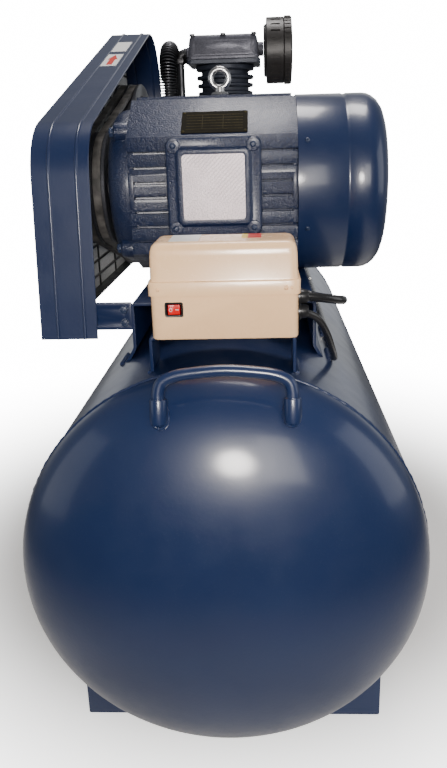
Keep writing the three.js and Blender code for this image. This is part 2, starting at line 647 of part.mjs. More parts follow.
// ---- pump ----
const CRANKCASE_X = [-88, 50];
function crankcase() {
  const centre = [0, PUMP_Y, AXLE_Z];
  const baseX = [CRANKCASE_X[0] - 8, CRANKCASE_X[1] + 6];
  const base = box(baseX, [PUMP_Y - 92, PUMP_Y + 92], [PLATFORM_TOP + GAP, 306]);
  const sump = box(CRANKCASE_X, [PUMP_Y - 72, PUMP_Y + 72], [304, AXLE_Z]);
  const barrel = rod("x", centre, 76, ...CRANKCASE_X, 24);
  const neck = box([PUMP_X - 58, PUMP_X + 58], [PUMP_Y - 58, PUMP_Y + 58], [AXLE_Z + 30, CRANKCASE_TOP]);
  const nose = rod("x", centre, 34, CRANKCASE_X[0] - 14, CRANKCASE_X[0] + 1, 24);
  const cavity = rod("x", centre, 62, CRANKCASE_X[0] + 16, CRANKCASE_X[1] + 1, 20);
  const oilX = [CRANKCASE_X[0] + 16, CRANKCASE_X[1] - 8];
  const oil = box(oilX, [PUMP_Y - 60, PUMP_Y + 60], [314, AXLE_Z - 20]);
  const shaftHole = rod("x", centre, CRANK_SHAFT_R + 1, CRANKCASE_X[0] - 20, CRANKCASE_X[0] + 20, 24);
  const throat = rod("z", [PUMP_X, PUMP_Y, 0], BORE_R + 4, AXLE_Z + 20, CRANKCASE_TOP + 1, 24);
  const boltHoles = [-1, 1].flatMap((u) => [-1, 1].map((v) => {
    return rod("z", [PUMP_X + 62 * u, PUMP_Y + 82 * v, 0], 6, PLATFORM_TOP - 1, 310, 10);
  }));
  return join(base, sump, barrel, neck, nose).subtract(join(cavity, oil, shaftHole, throat, ...boltHoles));
}

function crankcaseCover() {
  const centre = [0, PUMP_Y, AXLE_Z];
  const start = CRANKCASE_X[1] + GAP;
  const profile = [
    [0, start + 10], [22, start + 10], [22, start - 10], [34, start - 10], [34, start], [76, start],
    [76, start + 7], [46, start + 9], [40, start + 16], [0, start + 16],
  ];
  return turned("x", centre, profile, 22);
}

function crankshaft() {
  const centre = [0, PUMP_Y, AXLE_Z];
  const throwZ = AXLE_Z + STROKE / 2;
  const main = rod("x", centre, CRANK_SHAFT_R, -232, -46, 24);
  const tail = rod("x", centre, CRANK_SHAFT_R, 10, 54, 24);
  const pin = rod("x", [0, PUMP_Y, throwZ], CRANK_PIN_R, -50, 14, 20);
  const webY = [PUMP_Y - 17, PUMP_Y + 17];
  const webs = [[-60, -44], [8, 24]].map((x) => box(x, webY, [AXLE_Z - 44, throwZ + 13]));
  return join(main, tail, pin, ...webs);
}

function cylinder() {
  const profile = [[BORE_R, CRANKCASE_TOP + GAP], [54, CRANKCASE_TOP + GAP], [54, CRANKCASE_TOP + 8]];
  profile.push([46, CRANKCASE_TOP + 8]);
  const fins = 5;
  for (let i = 0; i < fins; i += 1) {
    const z = CRANKCASE_TOP + 20 + i * FIN_PITCH;
    const reach = 49 + i * 1.6;
    profile.push([46, z], [reach, z], [reach, z + 5], [46, z + 5]);
  }
  profile.push([46, DECK_Z - 9], [57, DECK_Z - 9], [57, DECK_Z], [BORE_R, DECK_Z]);
  profile.push([BORE_R, CRANKCASE_TOP + GAP]);
  return turned("z", [PUMP_X, PUMP_Y, 0], profile, 18);
}

function valvePlate() {
  const plate = plateZ(roundedRect([-88, 52], [703, 827], 10), [DECK_Z + GAP, HEAD_BOX.z[0] - GAP]);
  const through = [DECK_Z - 1, HEAD_BOX.z[0] + 1];
  const ports = [-20, 20].map((u) => rod("z", [PUMP_X + u, PUMP_Y, 0], 9, ...through, 12));
  return plate.subtract(join(...ports));
}

function cylinderHead() {
  const { x, y, z } = HEAD_BOX;
  const side = [[y[0], z[0]], [y[1], z[0]], [y[1] - 6, z[1]], [y[0] + 6, z[1]]];
  const block = plateX(side, x);
  const front = [[x[0], z[0]], [x[1], z[0]], [x[1] - 7, z[1]], [x[0] + 3, z[1]]];
  const ends = plateY(front, [y[0] - 1, y[1] + 1]);
  const chamberY = [y[0] + 12, y[1] - 12];
  const chambers = [[-76, -24], [-12, 40]].map((cx) => box(cx, chamberY, [z[0] - 1, z[1] - 12]));
  const inlet = rod("x", [0, PUMP_Y, FILTER_Z + 4], 13, 30, x[1] + 8, 16);
  const outlet = rod("x", [0, PUMP_Y, 655], 13, x[0] - 6, x[0] + 10, 16);
  const bores = rod("x", [0, PUMP_Y, 657], 8, x[0] - 8, x[1] + 10, 12);
  const web = box([-24, -12], [y[0] + 10, y[1] - 10], [z[0], z[1] - 8]);
  return block.intersect(ends).add(join(inlet, outlet)).subtract(join(...chambers, bores.subtract(web)));
}

function piston() {
  const top = DECK_Z - 1;
  const profile = [
    [0, top - 8], [33, top - 8], [33, top - 46], [BORE_R - 0.5, top - 46], [BORE_R - 0.5, top - 12],
    [BORE_R - 2.5, top - 12], [BORE_R - 2.5, top - 9], [BORE_R - 0.5, top - 9], [BORE_R - 0.5, top],
    [0, top],
  ];
  const skirt = turned("z", [PUMP_X, PUMP_Y, 0], profile, 18);
  const pin = rod("x", [0, PUMP_Y, top - 28], 8, PUMP_X - 36, PUMP_X + 36, 14);
  return skirt.add(pin);
}

function conRod() {
  const pinZ = DECK_Z - 29;
  const eye = pipe("x", [0, PUMP_Y, pinZ], 13, 8.4, PUMP_X - 11, PUMP_X + 11, 18);
  const shankBottom = AXLE_Z + STROKE / 2 + 14 + STROKE + 14;
  const shank = box([PUMP_X - 6, PUMP_X + 6], [PUMP_Y - 8, PUMP_Y + 8], [shankBottom, pinZ - 10.5]);
  return join(eye, shank);
}

function filterBody() {
  const centre = [0, PUMP_Y, FILTER_Z];
  const start = HEAD_BOX.x[1] + 8 + GAP;
  const profile = [
    [9, start], [46, start], [48, start + 4], [FILTER_R, start + 5], [FILTER_R, 97], [56, 97],
    [56, start + 9], [9, start + 9], [9, start],
  ];
  return turned("x", centre, profile, 24);
}

function filterCover() {
  const start = 97 + GAP;
  const profile = [[0, start + 3], [54, start + 3], [54, start], [62, start], [62, 112], [0, 114]];
  return turned("x", [0, PUMP_Y, FILTER_Z], profile, 24);
}

// The delivery pipe drops from the head's elbow, turns up into a finned arch and falls to the tank.
const PIPE_R = 7;
const ELBOW_X = -105;
const COOLER_X = -124;
const CHECK_VALVE = [-160, 704];
const PIPE_ROUTE = [
  [ELBOW_X, 765, 648], [ELBOW_X, 766, 600], [ELBOW_X - 1, 770, 540], [-108, 778, 506], [-115, 790, 494],
  [-122, 802, 506], [COOLER_X, 806, 540], [COOLER_X, 806, 600], [COOLER_X, 796, 640], [COOLER_X, 772, 661],
  [COOLER_X, 740, 661], [COOLER_X, 714, 642], [COOLER_X, 704, 606], [COOLER_X, 704, 540], [-126, 704, 460],
  [-136, 704, 390], [-152, 704, 340], [...CHECK_VALVE, 300], [...CHECK_VALVE, 268],
];
function dischargePipe() {
  const line = bent(PIPE_ROUTE, PIPE_R, 44, 6);
  const elbow = rod("z", [ELBOW_X, PUMP_Y, 0], 11, 640, 667, 12);
  const union = rod("x", [0, PUMP_Y, 655], 10, ELBOW_X, HEAD_BOX.x[0] - 6 - GAP, 12);
  const fins = bent(PIPE_ROUTE.slice(6, 15), 17, 16, 8);
  return join(line, elbow, union, fins);
}

function checkValve() {
  const profile = [
    [0, 216.4], [13, 216.4], [13, 236], [17, 238], [17, 256], [12, 258], [12, 267.6], [0, 267.6],
  ];
  return turned("z", [...CHECK_VALVE, 0], profile, 6);
}

piece("crankcase", crankcase(), "pump");
piece("crankcase_cover", crankcaseCover(), "pump");
piece("crankshaft", crankshaft(), "steel");
piece("cylinder", cylinder(), "pump");
piece("valve_plate", valvePlate(), "pump");
piece("cylinder_head", cylinderHead(), "pump");
piece("piston", piston(), "steel");
piece("con_rod", conRod(), "steel");
piece("filter_body", filterBody(), "black");
piece("filter_cover", filterCover(), "black");
piece("discharge_pipe", dischargePipe(), "copper");
piece("check_valve", checkValve(), "brass");

// ---- air fittings on the tank ----
function manifold() {
  const body = rod("z", [0, VALVES_Y, 0], 15, 262 + GAP, 345, 16);
  const across = rod("x", [0, VALVES_Y, 308], 12, -30, 30, 14);
  const back = rod("y", [0, 0, 282], 12, VALVES_Y, VALVES_Y + 30, 14);
  return join(body, across, back);
}

function pressureSwitch() {
  const y = [VALVES_Y - 40, VALVES_Y + 40];
  const casing = plateZ(roundedRect([-33, 33], y, 8), [345 + GAP, 412]);
  const gland = rod("y", [18, 0, 372], 8, y[0] - 14, y[0] + 2, 12);
  return casing.add(gland);
}

function pressureGauge() {
  const centre = [0, VALVES_Y, 308];
  const stem = rod("x", centre, 6, 30 + GAP, 44, 12);
  const casing = rod("x", centre, 26, 42, 60, 24);
  const dial = rod("x", centre, 23, 54, 61, 24);
  const pin = rod("x", centre, 1.2, 53, 57, 8);
  return join(stem, casing).subtract(dial).add(pin);
}

function gaugeNeedle() {
  const centre = [0, VALVES_Y, 308];
  const hub = rod("x", centre, 4, 54.6, 56, 12);
  const hand = box([54.6, 55.6], [VALVES_Y - 18, VALVES_Y + 7], [307, 309]);
  return join(hub, hand).subtract(rod("x", centre, 1.6, 54, 57, 8));
}

function safetyValve() {
  const centre = [0, VALVES_Y, 308];
  const profile = [
    [0, -78], [8, -78], [8, -64], [12, -62], [12, -46], [9, -44], [9, -30.3], [0, -30.3],
  ];
  return turned("x", centre, profile, 12).subtract(rod("x", centre, 3, -80, -50, 10));
}

function safetyRing() {
  const centre = [0, VALVES_Y, 308];
  const stem = rod("x", centre, 2, -92, -54, 8);
  const section = arc(9, 0, 1.6, 0, 360, 6).map(([u, v]) => new THREE.Vector2(u, v));
  const ring = new THREE.LatheGeometry(section, 16);
  ring.translate(-100, VALVES_Y, 308);
  return stem.add(toSolid(ring));
}

function outletValve() {
  const start = VALVES_Y + 30 + GAP;
  const barrel = rod("y", [0, 0, 282], 13, start, start + 60, 14);
  const neck = rod("z", [0, start + 26, 0], 7, 282, 301, 12);
  const bore = rod("y", [0, 0, 282], 7, start - 1, start + 61, 12);
  return join(barrel, neck).subtract(bore.subtract(rod("z", [0, start + 26, 0], 9, 270, 300, 12)));
}

function outletLever() {
  const pivotY = VALVES_Y + 30 + GAP + 26;
  const hub = rod("z", [0, pivotY, 0], 9, 301.4, 307, 12);
  return hub.add(box([-7, 7], [pivotY, pivotY + 72], [303, 307]));
}

function drainValve() {
  const body = rod("z", [0, DRAIN_Y, 0], 10, -284, -262 - GAP, 12);
  return body.add(rod("x", [0, DRAIN_Y, -273], 7, 0, 34, 12));
}

function drainScrew() {
  const stem = rod("x", [0, DRAIN_Y, -273], 4, -26, -10.5, 10);
  return stem.add(box([-26, -22], [DRAIN_Y - 13, DRAIN_Y + 13], [-277, -269]));
}

piece("valve_manifold", manifold(), "brass");
piece("pressure_switch", pressureSwitch(), "black");
piece("switch_knob", rod("z", [0, VALVES_Y - 12, 0], 12, 412.6, 430, 16), "red");
piece("pressure_gauge", pressureGauge(), "black");
piece("gauge_needle", gaugeNeedle(), "black");
piece("safety_valve", safetyValve(), "brass");
piece("safety_ring", safetyRing(), "steel");
piece("outlet_valve", outletValve(), "brass");
piece("outlet_lever", outletLever(), "red");
piece("drain_valve", drainValve(), "brass");
piece("drain_screw", drainScrew(), "brass");

// ---- leads ----
const MOTOR_LEAD_ROUTE = [
  [84, 60, 318], [104, 62, 318], [126, 68, 314], [144, 80, 309], [150, 98, 305], [138, 118, 302],
  [112, 136, 304], [80, 160, 310], [52, 190, 318], [32, 222, 328], [25, 248, 340], [24, 262, 356],
  [24, 262, 388],
];
const SWITCH_LEAD_ROUTE = [
  [84, 60, 300], [102, 62, 298], [118, 72, 288], [130, 90, 266], [140, 118, 236], [147, 160, 212],
  [150, 230, 206], [150, 420, 206], [150, 620, 206], [150, 820, 206], [149, 960, 206],
  [140, 1004, 214], [112, 1026, 232], [70, 1020, 262], [30, 1000, 330], [18, 986, 364],
  [18, 994, 372], [18, 1007.6, 372],
];
piece("motor_lead", bent(MOTOR_LEAD_ROUTE, 5.5, 32, 6), "rubber");
piece("switch_lead", bent(SWITCH_LEAD_ROUTE, 4.5, 44, 6), "rubber");

// ---- stand the machine on the floor, origin in the middle of its footprint ----
const bounds = new THREE.Box3().setFromObject(machine);
const middle = bounds.getCenter(new THREE.Vector3());
machine.position.set(-middle.x, -middle.y, -bounds.min.z);

export default machine;
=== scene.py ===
# %% [markdown]
# # A workshop air compressor, piece by piece
# The real machine is a lying pressure tank with a motor and a pump bolted on top. The pump is driven by two
# belts behind a mesh guard, and a starter box sits at the near end. The frame that is loaded here already
# holds every part at its true size and place. These cells give each part its real surface: rolled sheet,
# sand castings, turned fins, woven wire and moulded plastic.

# %% Load the frame
import json
import math

import bmesh
import bpy
from mathutils import Matrix, Vector, noise


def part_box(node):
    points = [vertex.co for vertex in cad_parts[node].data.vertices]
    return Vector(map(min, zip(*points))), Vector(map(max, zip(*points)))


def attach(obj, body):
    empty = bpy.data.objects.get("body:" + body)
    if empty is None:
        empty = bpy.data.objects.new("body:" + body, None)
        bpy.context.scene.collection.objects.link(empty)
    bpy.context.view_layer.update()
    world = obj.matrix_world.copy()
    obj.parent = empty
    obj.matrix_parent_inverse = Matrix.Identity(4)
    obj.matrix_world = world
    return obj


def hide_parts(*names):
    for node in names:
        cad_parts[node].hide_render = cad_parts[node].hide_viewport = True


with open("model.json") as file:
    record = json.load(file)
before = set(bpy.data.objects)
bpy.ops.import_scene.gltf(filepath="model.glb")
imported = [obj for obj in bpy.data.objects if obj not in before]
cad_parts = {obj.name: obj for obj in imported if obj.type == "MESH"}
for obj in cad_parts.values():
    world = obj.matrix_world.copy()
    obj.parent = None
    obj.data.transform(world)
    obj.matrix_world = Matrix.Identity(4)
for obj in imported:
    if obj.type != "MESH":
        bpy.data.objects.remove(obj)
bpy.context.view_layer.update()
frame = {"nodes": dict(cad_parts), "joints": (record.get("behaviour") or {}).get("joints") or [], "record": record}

MM = 0.001

# %% [markdown]
# Every place comes from the frame: a part's box gives its middle and its span, and the joints give the
# shafts' centres. The record says which body each part rides on and which finish it has, so a new piece
# that stands for a part can look both up by the part's name.

# %% Places, bodies and slots by name
RECORD = frame["record"]
BODY_OF = {node: body for body, nodes in RECORD["behaviour"]["bodies"].items() for node in nodes}
SLOT_OF = {part["node"]: part["material_slot"] for part in RECORD["subparts"]}
JOINT_AT = {joint["name"]: Vector(joint["pos_m"]) for joint in frame["joints"] if "pos_m" in joint}


def low(node):
    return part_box(node)[0]


def high(node):
    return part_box(node)[1]


def middle(node):
    return (low(node) + high(node)) / 2


def span(node):
    return high(node) - low(node)


motor_axle = JOINT_AT["motor_spin"]
crank_axle = JOINT_AT["flywheel_spin"]
print("motor shaft height", round(motor_axle.z, 4), "crank height", round(crank_axle.z, 4))

# %% [markdown]
# A finished piece gets its material, the part that it stands for, and that part's body. Small
# trim that has no part of its own names the part that it is fixed to instead.

# %% Settle a piece on the machine
def settle(piece, material, stands_for=(), fixed_to=None, slot=None):
    nodes = [stands_for] if isinstance(stands_for, str) else list(stands_for)
    host = fixed_to or nodes[0]
    if material is not None:
        piece.data.materials.clear()
        piece.data.materials.append(material)
    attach(piece, BODY_OF[host])
    if nodes:
        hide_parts(*nodes)
    slot or SLOT_OF[host]
    print(f"{piece.name}: {len(piece.data.vertices)} points on {BODY_OF[host]}")
    return piece


# %% [markdown]
# ## Shaping tools
# Most of the machine is made in four ways: turned on a lathe, cut from plate, bent from bar, or cast in a
# rounded block. One small function makes each of these as a closed mesh. An outline is given in the two
# directions across the axis, so a turned or cut part reads the same whichever way its axis points.

# %% Meshes from points
ACROSS = {
    "x": lambda u, v, w: (w, u, v),
    "y": lambda u, v, w: (u, w, v),
    "z": lambda u, v, w: (u, v, w),
}


def solid(name, points, faces, crease=32):
    """A mesh object whose faces point outwards, smooth except at edges sharper than crease degrees."""
    mesh = bpy.data.meshes.new(name)
    mesh.from_pydata(points, [], faces)
    piece = bpy.data.objects.new(name, mesh)
    bpy.context.scene.collection.objects.link(piece)
    return polish(piece, crease)


def polish(piece, crease=32):
    form = bmesh.new()
    form.from_mesh(piece.data)
    bmesh.ops.remove_doubles(form, verts=form.verts, dist=1e-6)
    bmesh.ops.recalc_face_normals(form, faces=form.faces)
    form.to_mesh(piece.data)
    form.free()
    piece.data.shade_smooth()
    piece.data.set_sharp_from_angle(angle=math.radians(crease))
    return piece


def turned(name, axis, centre, profile, sides=96, crease=32):
    """A round body. The profile is a list of (radius, distance along the axis); it closes on itself or ends
    on the axis."""
    points, rings = [], []
    for radius, along in profile:
        if radius < 1e-7:
            rings.append([len(points)] * sides)
            points.append(ACROSS[axis](0, 0, along))
            continue
        rings.append(list(range(len(points), len(points) + sides)))
        for i in range(sides):
            angle = 2 * math.pi * i / sides
            points.append(ACROSS[axis](radius * math.cos(angle), radius * math.sin(angle), along))
    on_axis = profile[0][0] < 1e-7 and profile[-1][0] < 1e-7
    pairs = list(zip(rings, rings[1:])) + ([] if on_axis else [(rings[-1], rings[0])])
    faces = []
    for a, b in pairs:
        for i in range(sides):
            j = (i + 1) % sides
            loop = [a[i], a[j], b[j], b[i]]
            loop = [p for k, p in enumerate(loop) if p != loop[k - 1]]
            if len(loop) > 2:
                faces.append(loop)
    centre = Vector(centre)
    return solid(name, [tuple(Vector(p) + centre) for p in points], faces, crease)


def cut_from_plate(name, axis, outline, start, end, crease=32):
    """A flat plate: an outline across the axis, from start to end along it."""
    count = len(outline)
    points = [ACROSS[axis](u, v, w) for w in (start, end) for u, v in outline]
    faces = [list(range(count)), list(range(count, 2 * count))[::-1]]
    faces += [[i, (i + 1) % count, count + (i + 1) % count, count + i] for i in range(count)]
    return solid(name, points, faces, crease)


def block(name, lo, hi):
    outline = [(lo[0], lo[1]), (hi[0], lo[1]), (hi[0], hi[1]), (lo[0], hi[1])]
    return cut_from_plate(name, "z", outline, lo[2], hi[2])


print("shaping tools: turned, cut_from_plate, block")

# %% Rounded outlines
def rounded(outline, radius, steps=5):
    """A closed outline with its corners replaced by curves. The radius is one number, or one per corner."""
    result = []
    count = len(outline)
    radii = [radius] * count if isinstance(radius, (int, float)) else radius
    for i, here in enumerate(outline):
        here = Vector(here)
        before = Vector(outline[i - 1]) - here
        after = Vector(outline[(i + 1) % count]) - here
        if radii[i] <= 0 or min(before.length, after.length) < 1e-9:
            result.append(tuple(here))
            continue
        half = before.angle(after) / 2
        if half > math.pi / 2 - 0.02:
            result.append(tuple(here))
            continue
        reach = min(radii[i] / math.tan(half), 0.49 * before.length, 0.49 * after.length)
        start = here + before.normalized() * reach
        end = here + after.normalized() * reach
        for k in range(steps + 1):
            t = k / steps
            point = start * (1 - t) ** 2 + here * (2 * t * (1 - t)) + end * t * t
            result.append(tuple(point))
    return result


def arc(cu, cv, radius, from_degrees, to_degrees, steps):
    angles = [math.radians(from_degrees + (to_degrees - from_degrees) * i / steps)
              for i in range(steps + 1)]
    return [(cu + radius * math.cos(a), cv + radius * math.sin(a)) for a in angles]


def rectangle(u, v):
    return [(u[0], v[0]), (u[1], v[0]), (u[1], v[1]), (u[0], v[1])]


def circle(cu, cv, radius, steps=32):
    return arc(cu, cv, radius, 0, 360 - 360 / steps, steps - 1)


print("a rounded square has", len(rounded(rectangle((0, 1), (0, 1)), 0.1)), "points")

# %% Modifiers that are applied at once
def apply(piece, kind, crease=32, **settings):
    modifier = piece.modifiers.new(kind, kind)
    for key, value in settings.items():
        setattr(modifier, key, value)
    graph = bpy.context.evaluated_depsgraph_get()
    result = bpy.data.meshes.new_from_object(piece.evaluated_get(graph), depsgraph=graph)
    piece.modifiers.clear()
    old = piece.data
    piece.data = result
    bpy.data.meshes.remove(old)
    return polish(piece, crease)


def soften(piece, width, segments=2, angle=34):
    """Rounds the sharp edges, as a mould, a casting or a deburring tool leaves them."""
    return apply(piece, "BEVEL", width=width, segments=segments, limit_method="ANGLE",
                 angle_limit=math.radians(angle), harden_normals=False, miter_outer="MITER_ARC")


def discard(piece):
    bpy.data.objects.remove(piece, do_unlink=True)


def carve(piece, *cutters):
    """Cuts other bodies out of a piece."""
    for cutter in cutters:
        apply(piece, "BOOLEAN", object=cutter, operation="DIFFERENCE", solver="EXACT")
        discard(cutter)
    return piece


def weld(piece, *others):
    """Joins other bodies to a piece as one casting."""
    for other in others:
        apply(piece, "BOOLEAN", object=other, operation="UNION", solver="EXACT")
        discard(other)
    return piece


def gather(name, pieces, crease=32):
    """Puts separate small bodies, such as a row of bolts, in one object."""
    form = bmesh.new()
    for piece in pieces:
        form.from_mesh(piece.data)
        discard(piece)
    mesh = bpy.data.meshes.new(name)
    form.to_mesh(mesh)
    form.free()
    whole = bpy.data.objects.new(name, mesh)
    bpy.context.scene.collection.objects.link(whole)
    whole.data.shade_smooth()
    whole.data.set_sharp_from_angle(angle=math.radians(crease))
    return whole


def turn(piece, axis, degrees, about):
    """Turns a piece in place about a line through a point."""
    about = Vector(about)
    spin = Matrix.Rotation(math.radians(degrees), 4, axis)
    piece.data.transform(Matrix.Translation(about) @ spin @ Matrix.Translation(-about))
    return piece


def dressed_copy(part, edge_mm):
    """A plain hidden part with its edges broken, for the few that nothing but a section view would show."""
    mesh = frame["nodes"][part].data.copy()
    mesh.transform(frame["nodes"][part].matrix_world)
    copy = bpy.data.objects.new(part + "_finished", mesh)
    bpy.context.scene.collection.objects.link(copy)
    return soften(copy, edge_mm * MM, 1, 50)


print("modifiers: soften, carve, weld, gather, turn")

# %% [markdown]
# Bars, cables, pipes and weld beads are all a round section that is swept along a line. The radius may
# change along the way: a finned pipe is a sweep whose radius jumps out and in, and a weld bead one that
# ripples.

# %% Sweeps
def flowing(points, per_span=10, closed=False):
    """A smooth line through a list of points."""
    points = [Vector(p) for p in points]
    count = len(points)
    spans = count if closed else count - 1
    line = []
    for i in range(spans):
        if closed:
            p0, p1, p2, p3 = (points[(i + k) % count] for k in (-1, 0, 1, 2))
        else:
            p0, p1, p2, p3 = (points[min(max(i + k, 0), count - 1)] for k in (-1, 0, 1, 2))
        for k in range(per_span):
            t = k / per_span
            line.append(0.5 * ((2 * p1) + (p2 - p0) * t + (2 * p0 - 5 * p1 + 4 * p2 - p3) * t ** 2
                               + (3 * p1 - 3 * p2 + p3 - p0) * t ** 3))
    if not closed:
        line.append(points[-1])
    return line


def swept(name, line, radius, sides=16, closed=False, crease=40):
    """A round body along a line. The radius is one number or one for each point of the line."""
    count = len(line)
    radii = [radius] * count if isinstance(radius, (int, float)) else radius
    points, faces = [], []
    across = None
    for i, here in enumerate(line):
        ahead = line[(i + 1) % count] if closed else line[min(i + 1, count - 1)]
        behind = line[i - 1] if closed else line[max(i - 1, 0)]
        along = (ahead - behind).normalized()
        if across is None:
            across = along.orthogonal().normalized()
        across = (across - along * across.dot(along)).normalized()
        other = along.cross(across)
        for k in range(sides):
            angle = 2 * math.pi * k / sides
            points.append(tuple(here + (across * math.cos(angle) + other * math.sin(angle)) * radii[i]))
    for i in range(count if closed else count - 1):
        j = (i + 1) % count
        offset = 0
        if closed and j == 0:
            gaps = [(Vector(points[k]) - Vector(points[i * sides])).length for k in range(sides)]
            offset = gaps.index(min(gaps))
        for k in range(sides):
            n = (k + 1) % sides
            faces.append([i * sides + k, i * sides + n, j * sides + (n + offset) % sides,
                          j * sides + (k + offset) % sides])
    if not closed:
        faces.append(list(range(sides)))
        faces.append(list(range((count - 1) * sides, count * sides))[::-1])
    return solid(name, points, faces, crease)


def weld_bead(name, line, radius, closed=False):
    """A rippled bead along a line, slightly uneven as a hand weld is."""
    radii = []
    for i, point in enumerate(line):
        ripple = 0.12 * math.sin(i * 1.9)
        radii.append(radius * (1 + ripple + 0.25 * noise.noise(point * 90)))
    return swept(name, line, radii, sides=8, closed=closed, crease=80)


print("sweeps: flowing, swept, weld_bead")

# %% [markdown]
# Screws are everywhere on a machine like this. A hexagon head with a washer holds the heavy parts, and a
# domed head with a cross slot holds covers. Both are built lying along an axis, facing out.

# %% Screws
def hex_screw(at, axis, outward, size, washer=True):
    """A hexagon head on its washer. Size is the thread's diameter."""
    index = "xyz".index(axis)
    seat = Vector(at)
    flat = seat[index]
    parts = []
    start = 0
    others = [k for k in range(3) if k != index]
    cu, cv = seat[others[0]], seat[others[1]]
    if washer:
        disc = cut_from_plate("washer", axis, circle(cu, cv, size * 1.15, 28), flat,
                              flat + outward * size * 0.2)
        parts.append(disc)
        start = size * 0.2
    head = cut_from_plate("head", axis, circle(cu, cv, size * 0.98, 6), flat + outward * start,
                          flat + outward * (start + size * 0.65))
    parts.append(soften(head, size * 0.07, 2, 50))
    return parts


def cross_screw(at, axis, outward, size):
    """A domed head with a cross slot."""
    radius = size
    dome = [(0, 0), (radius, 0), (radius, radius * 0.25), (radius * 0.85, radius * 0.5),
            (radius * 0.5, radius * 0.68),
            (0, radius * 0.75)]
    head = turned("dome", axis, at, [(r, outward * a) for r, a in dome], 24, 50)
    index = "xyz".index(axis)
    others = [k for k in range(3) if k != index]
    for long_way in others:
        lo, hi = Vector(at), Vector(at)
        for k in range(3):
            reach = radius * (0.6 if k == long_way else 0.13)
            if k != index:
                lo[k] -= reach
                hi[k] += reach
        ends = sorted((at[index] + outward * radius * 0.4, at[index] + outward * radius))
        lo[index], hi[index] = ends
        carve(head, block("slot", lo, hi))
    return [head]


print("screws: hex_screw, cross_screw")
# %% [markdown]
# ## Camera
# The view is from a standing person's height, a step back from the near end of the tank and looking a
# little down. The camera is set by its place and by three angles, and a small lens shift puts the machine
# where it belongs in an upright frame.

# %% Camera
def look(yaw, pitch, roll):
    forward = Vector((math.sin(yaw) * math.cos(pitch), math.cos(yaw) * math.cos(pitch), -math.sin(pitch)))
    level_right = Vector((math.cos(yaw), -math.sin(yaw), 0))
    level_down = forward.cross(level_right)
    right = math.cos(roll) * level_right + math.sin(roll) * level_down
    down = math.cos(roll) * level_down - math.sin(roll) * level_right
    return Matrix((right, -down, -forward)).transposed().to_4x4()


camera_data = bpy.data.cameras.new("camera")
camera_data.sensor_width = 36
camera_data.lens = 34.87
camera_data.shift_x = -0.0100
camera_data.shift_y = -0.0167
camera_data.clip_start = 0.01
camera = bpy.data.objects.new("camera", camera_data)
bpy.context.scene.collection.objects.link(camera)
camera.matrix_world = Matrix.Translation((0.0549, -1.3859, 0.7962)) @ look(-0.0488, 0.3084, 0.0288)
bpy.context.scene.camera = camera
print("camera at", [round(c, 3) for c in camera.location])

# %% [markdown]
# ## Node graphs in short
# Every surface is procedural, so a material is a small graph of nodes. Writing graphs socket by socket is
# long, so one class wraps an output socket and gives it plain arithmetic, and one function makes any other
# node from its type, its settings and its inputs.

# %% Wires and nodes
class Wire:
    """An output socket that can be used in arithmetic. The result is another wire."""

    def __init__(self, socket):
        self.socket = socket

    def maths(self, operation, first, second):
        return node(self.socket.id_data, "Math", {0: first, 1: second}, operation=operation)

    def __add__(self, other):
        return self.maths("ADD", self, other)

    def __radd__(self, other):
        return self.maths("ADD", other, self)

    def __sub__(self, other):
        return self.maths("SUBTRACT", self, other)

    def __rsub__(self, other):
        return self.maths("SUBTRACT", other, self)

    def __mul__(self, other):
        return self.maths("MULTIPLY", self, other)

    def __rmul__(self, other):
        return self.maths("MULTIPLY", other, self)

    def __truediv__(self, other):
        return self.maths("DIVIDE", self, other)

    def __pow__(self, other):
        return self.maths("POWER", self, other)

    def __gt__(self, other):
        return self.maths("GREATER_THAN", self, other)

    def __lt__(self, other):
        return self.maths("LESS_THAN", self, other)


def feed(socket, value):
    if isinstance(value, Wire):
        socket.id_data.links.new(value.socket, socket)
    elif socket.type == "RGBA":
        socket.default_value = (*value, 1)
    else:
        socket.default_value = value


def node(tree, kind, inputs=None, output=0, **settings):
    """Makes a node: first its settings, then its inputs by name or number. Returns one output as a wire."""
    made = tree.nodes.new("ShaderNode" + kind)
    for key, value in settings.items():
        setattr(made, key, value)
    for key, value in (inputs or {}).items():
        feed(made.inputs[key], value)
    return Wire(made.outputs[output])


print("node graphs: Wire, feed, node")

# %% [markdown]
# ## Light and floor
# The room is pale overhead and at the sides, and dim behind the camera, so the dark gloss paint keeps its
# depth instead of mirroring a white wall. The camera itself sees plain pale surroundings in all directions.
# The floor fades into them, so there is no horizon.

# %% Room
PALE = (1, 1, 1)
BRIGHT = 16.0
world = bpy.data.worlds.new("room")
world.use_nodes = True
bpy.context.scene.world = world
room = world.node_tree
room.nodes.clear()
direction = node(room, "TexCoord", output="Generated")
parts = node(room, "SeparateXYZ", {0: direction})
away = Wire(parts.socket.node.outputs["Y"])
up = Wire(parts.socket.node.outputs["Z"])
sideways = node(room, "Math", {0: Wire(parts.socket.node.outputs["X"])}, operation="ABSOLUTE")
behind = node(room, "Math", {0: away, 1: 0.0}, operation="MAXIMUM")
level = 1 - node(room, "Math", {0: up}, operation="ABSOLUTE")
glimmer = 0.9 * behind ** 3 * level ** 3
fill = node(room, "Math", {0: 0.05 + glimmer + 0.14 * sideways ** 2 + 0.14 * up}, operation="MAXIMUM")
fill.socket.node.inputs[1].default_value = 0.012
seen = node(room, "LightPath", output="Is Camera Ray")
tone = node(room, "VectorMath", {0: (0.93, 0.96, 1.0), "Scale": fill}, operation="SCALE")
colour = node(room, "Mix", {0: seen, 6: tone, 7: PALE}, 2, data_type="RGBA")
ambient = node(room, "Background", {"Color": colour, "Strength": 1.0 + (BRIGHT - 1.0) * seen})
feed(room.nodes.new("ShaderNodeOutputWorld").inputs[0], ambient)
print("room with", len(room.nodes), "nodes")

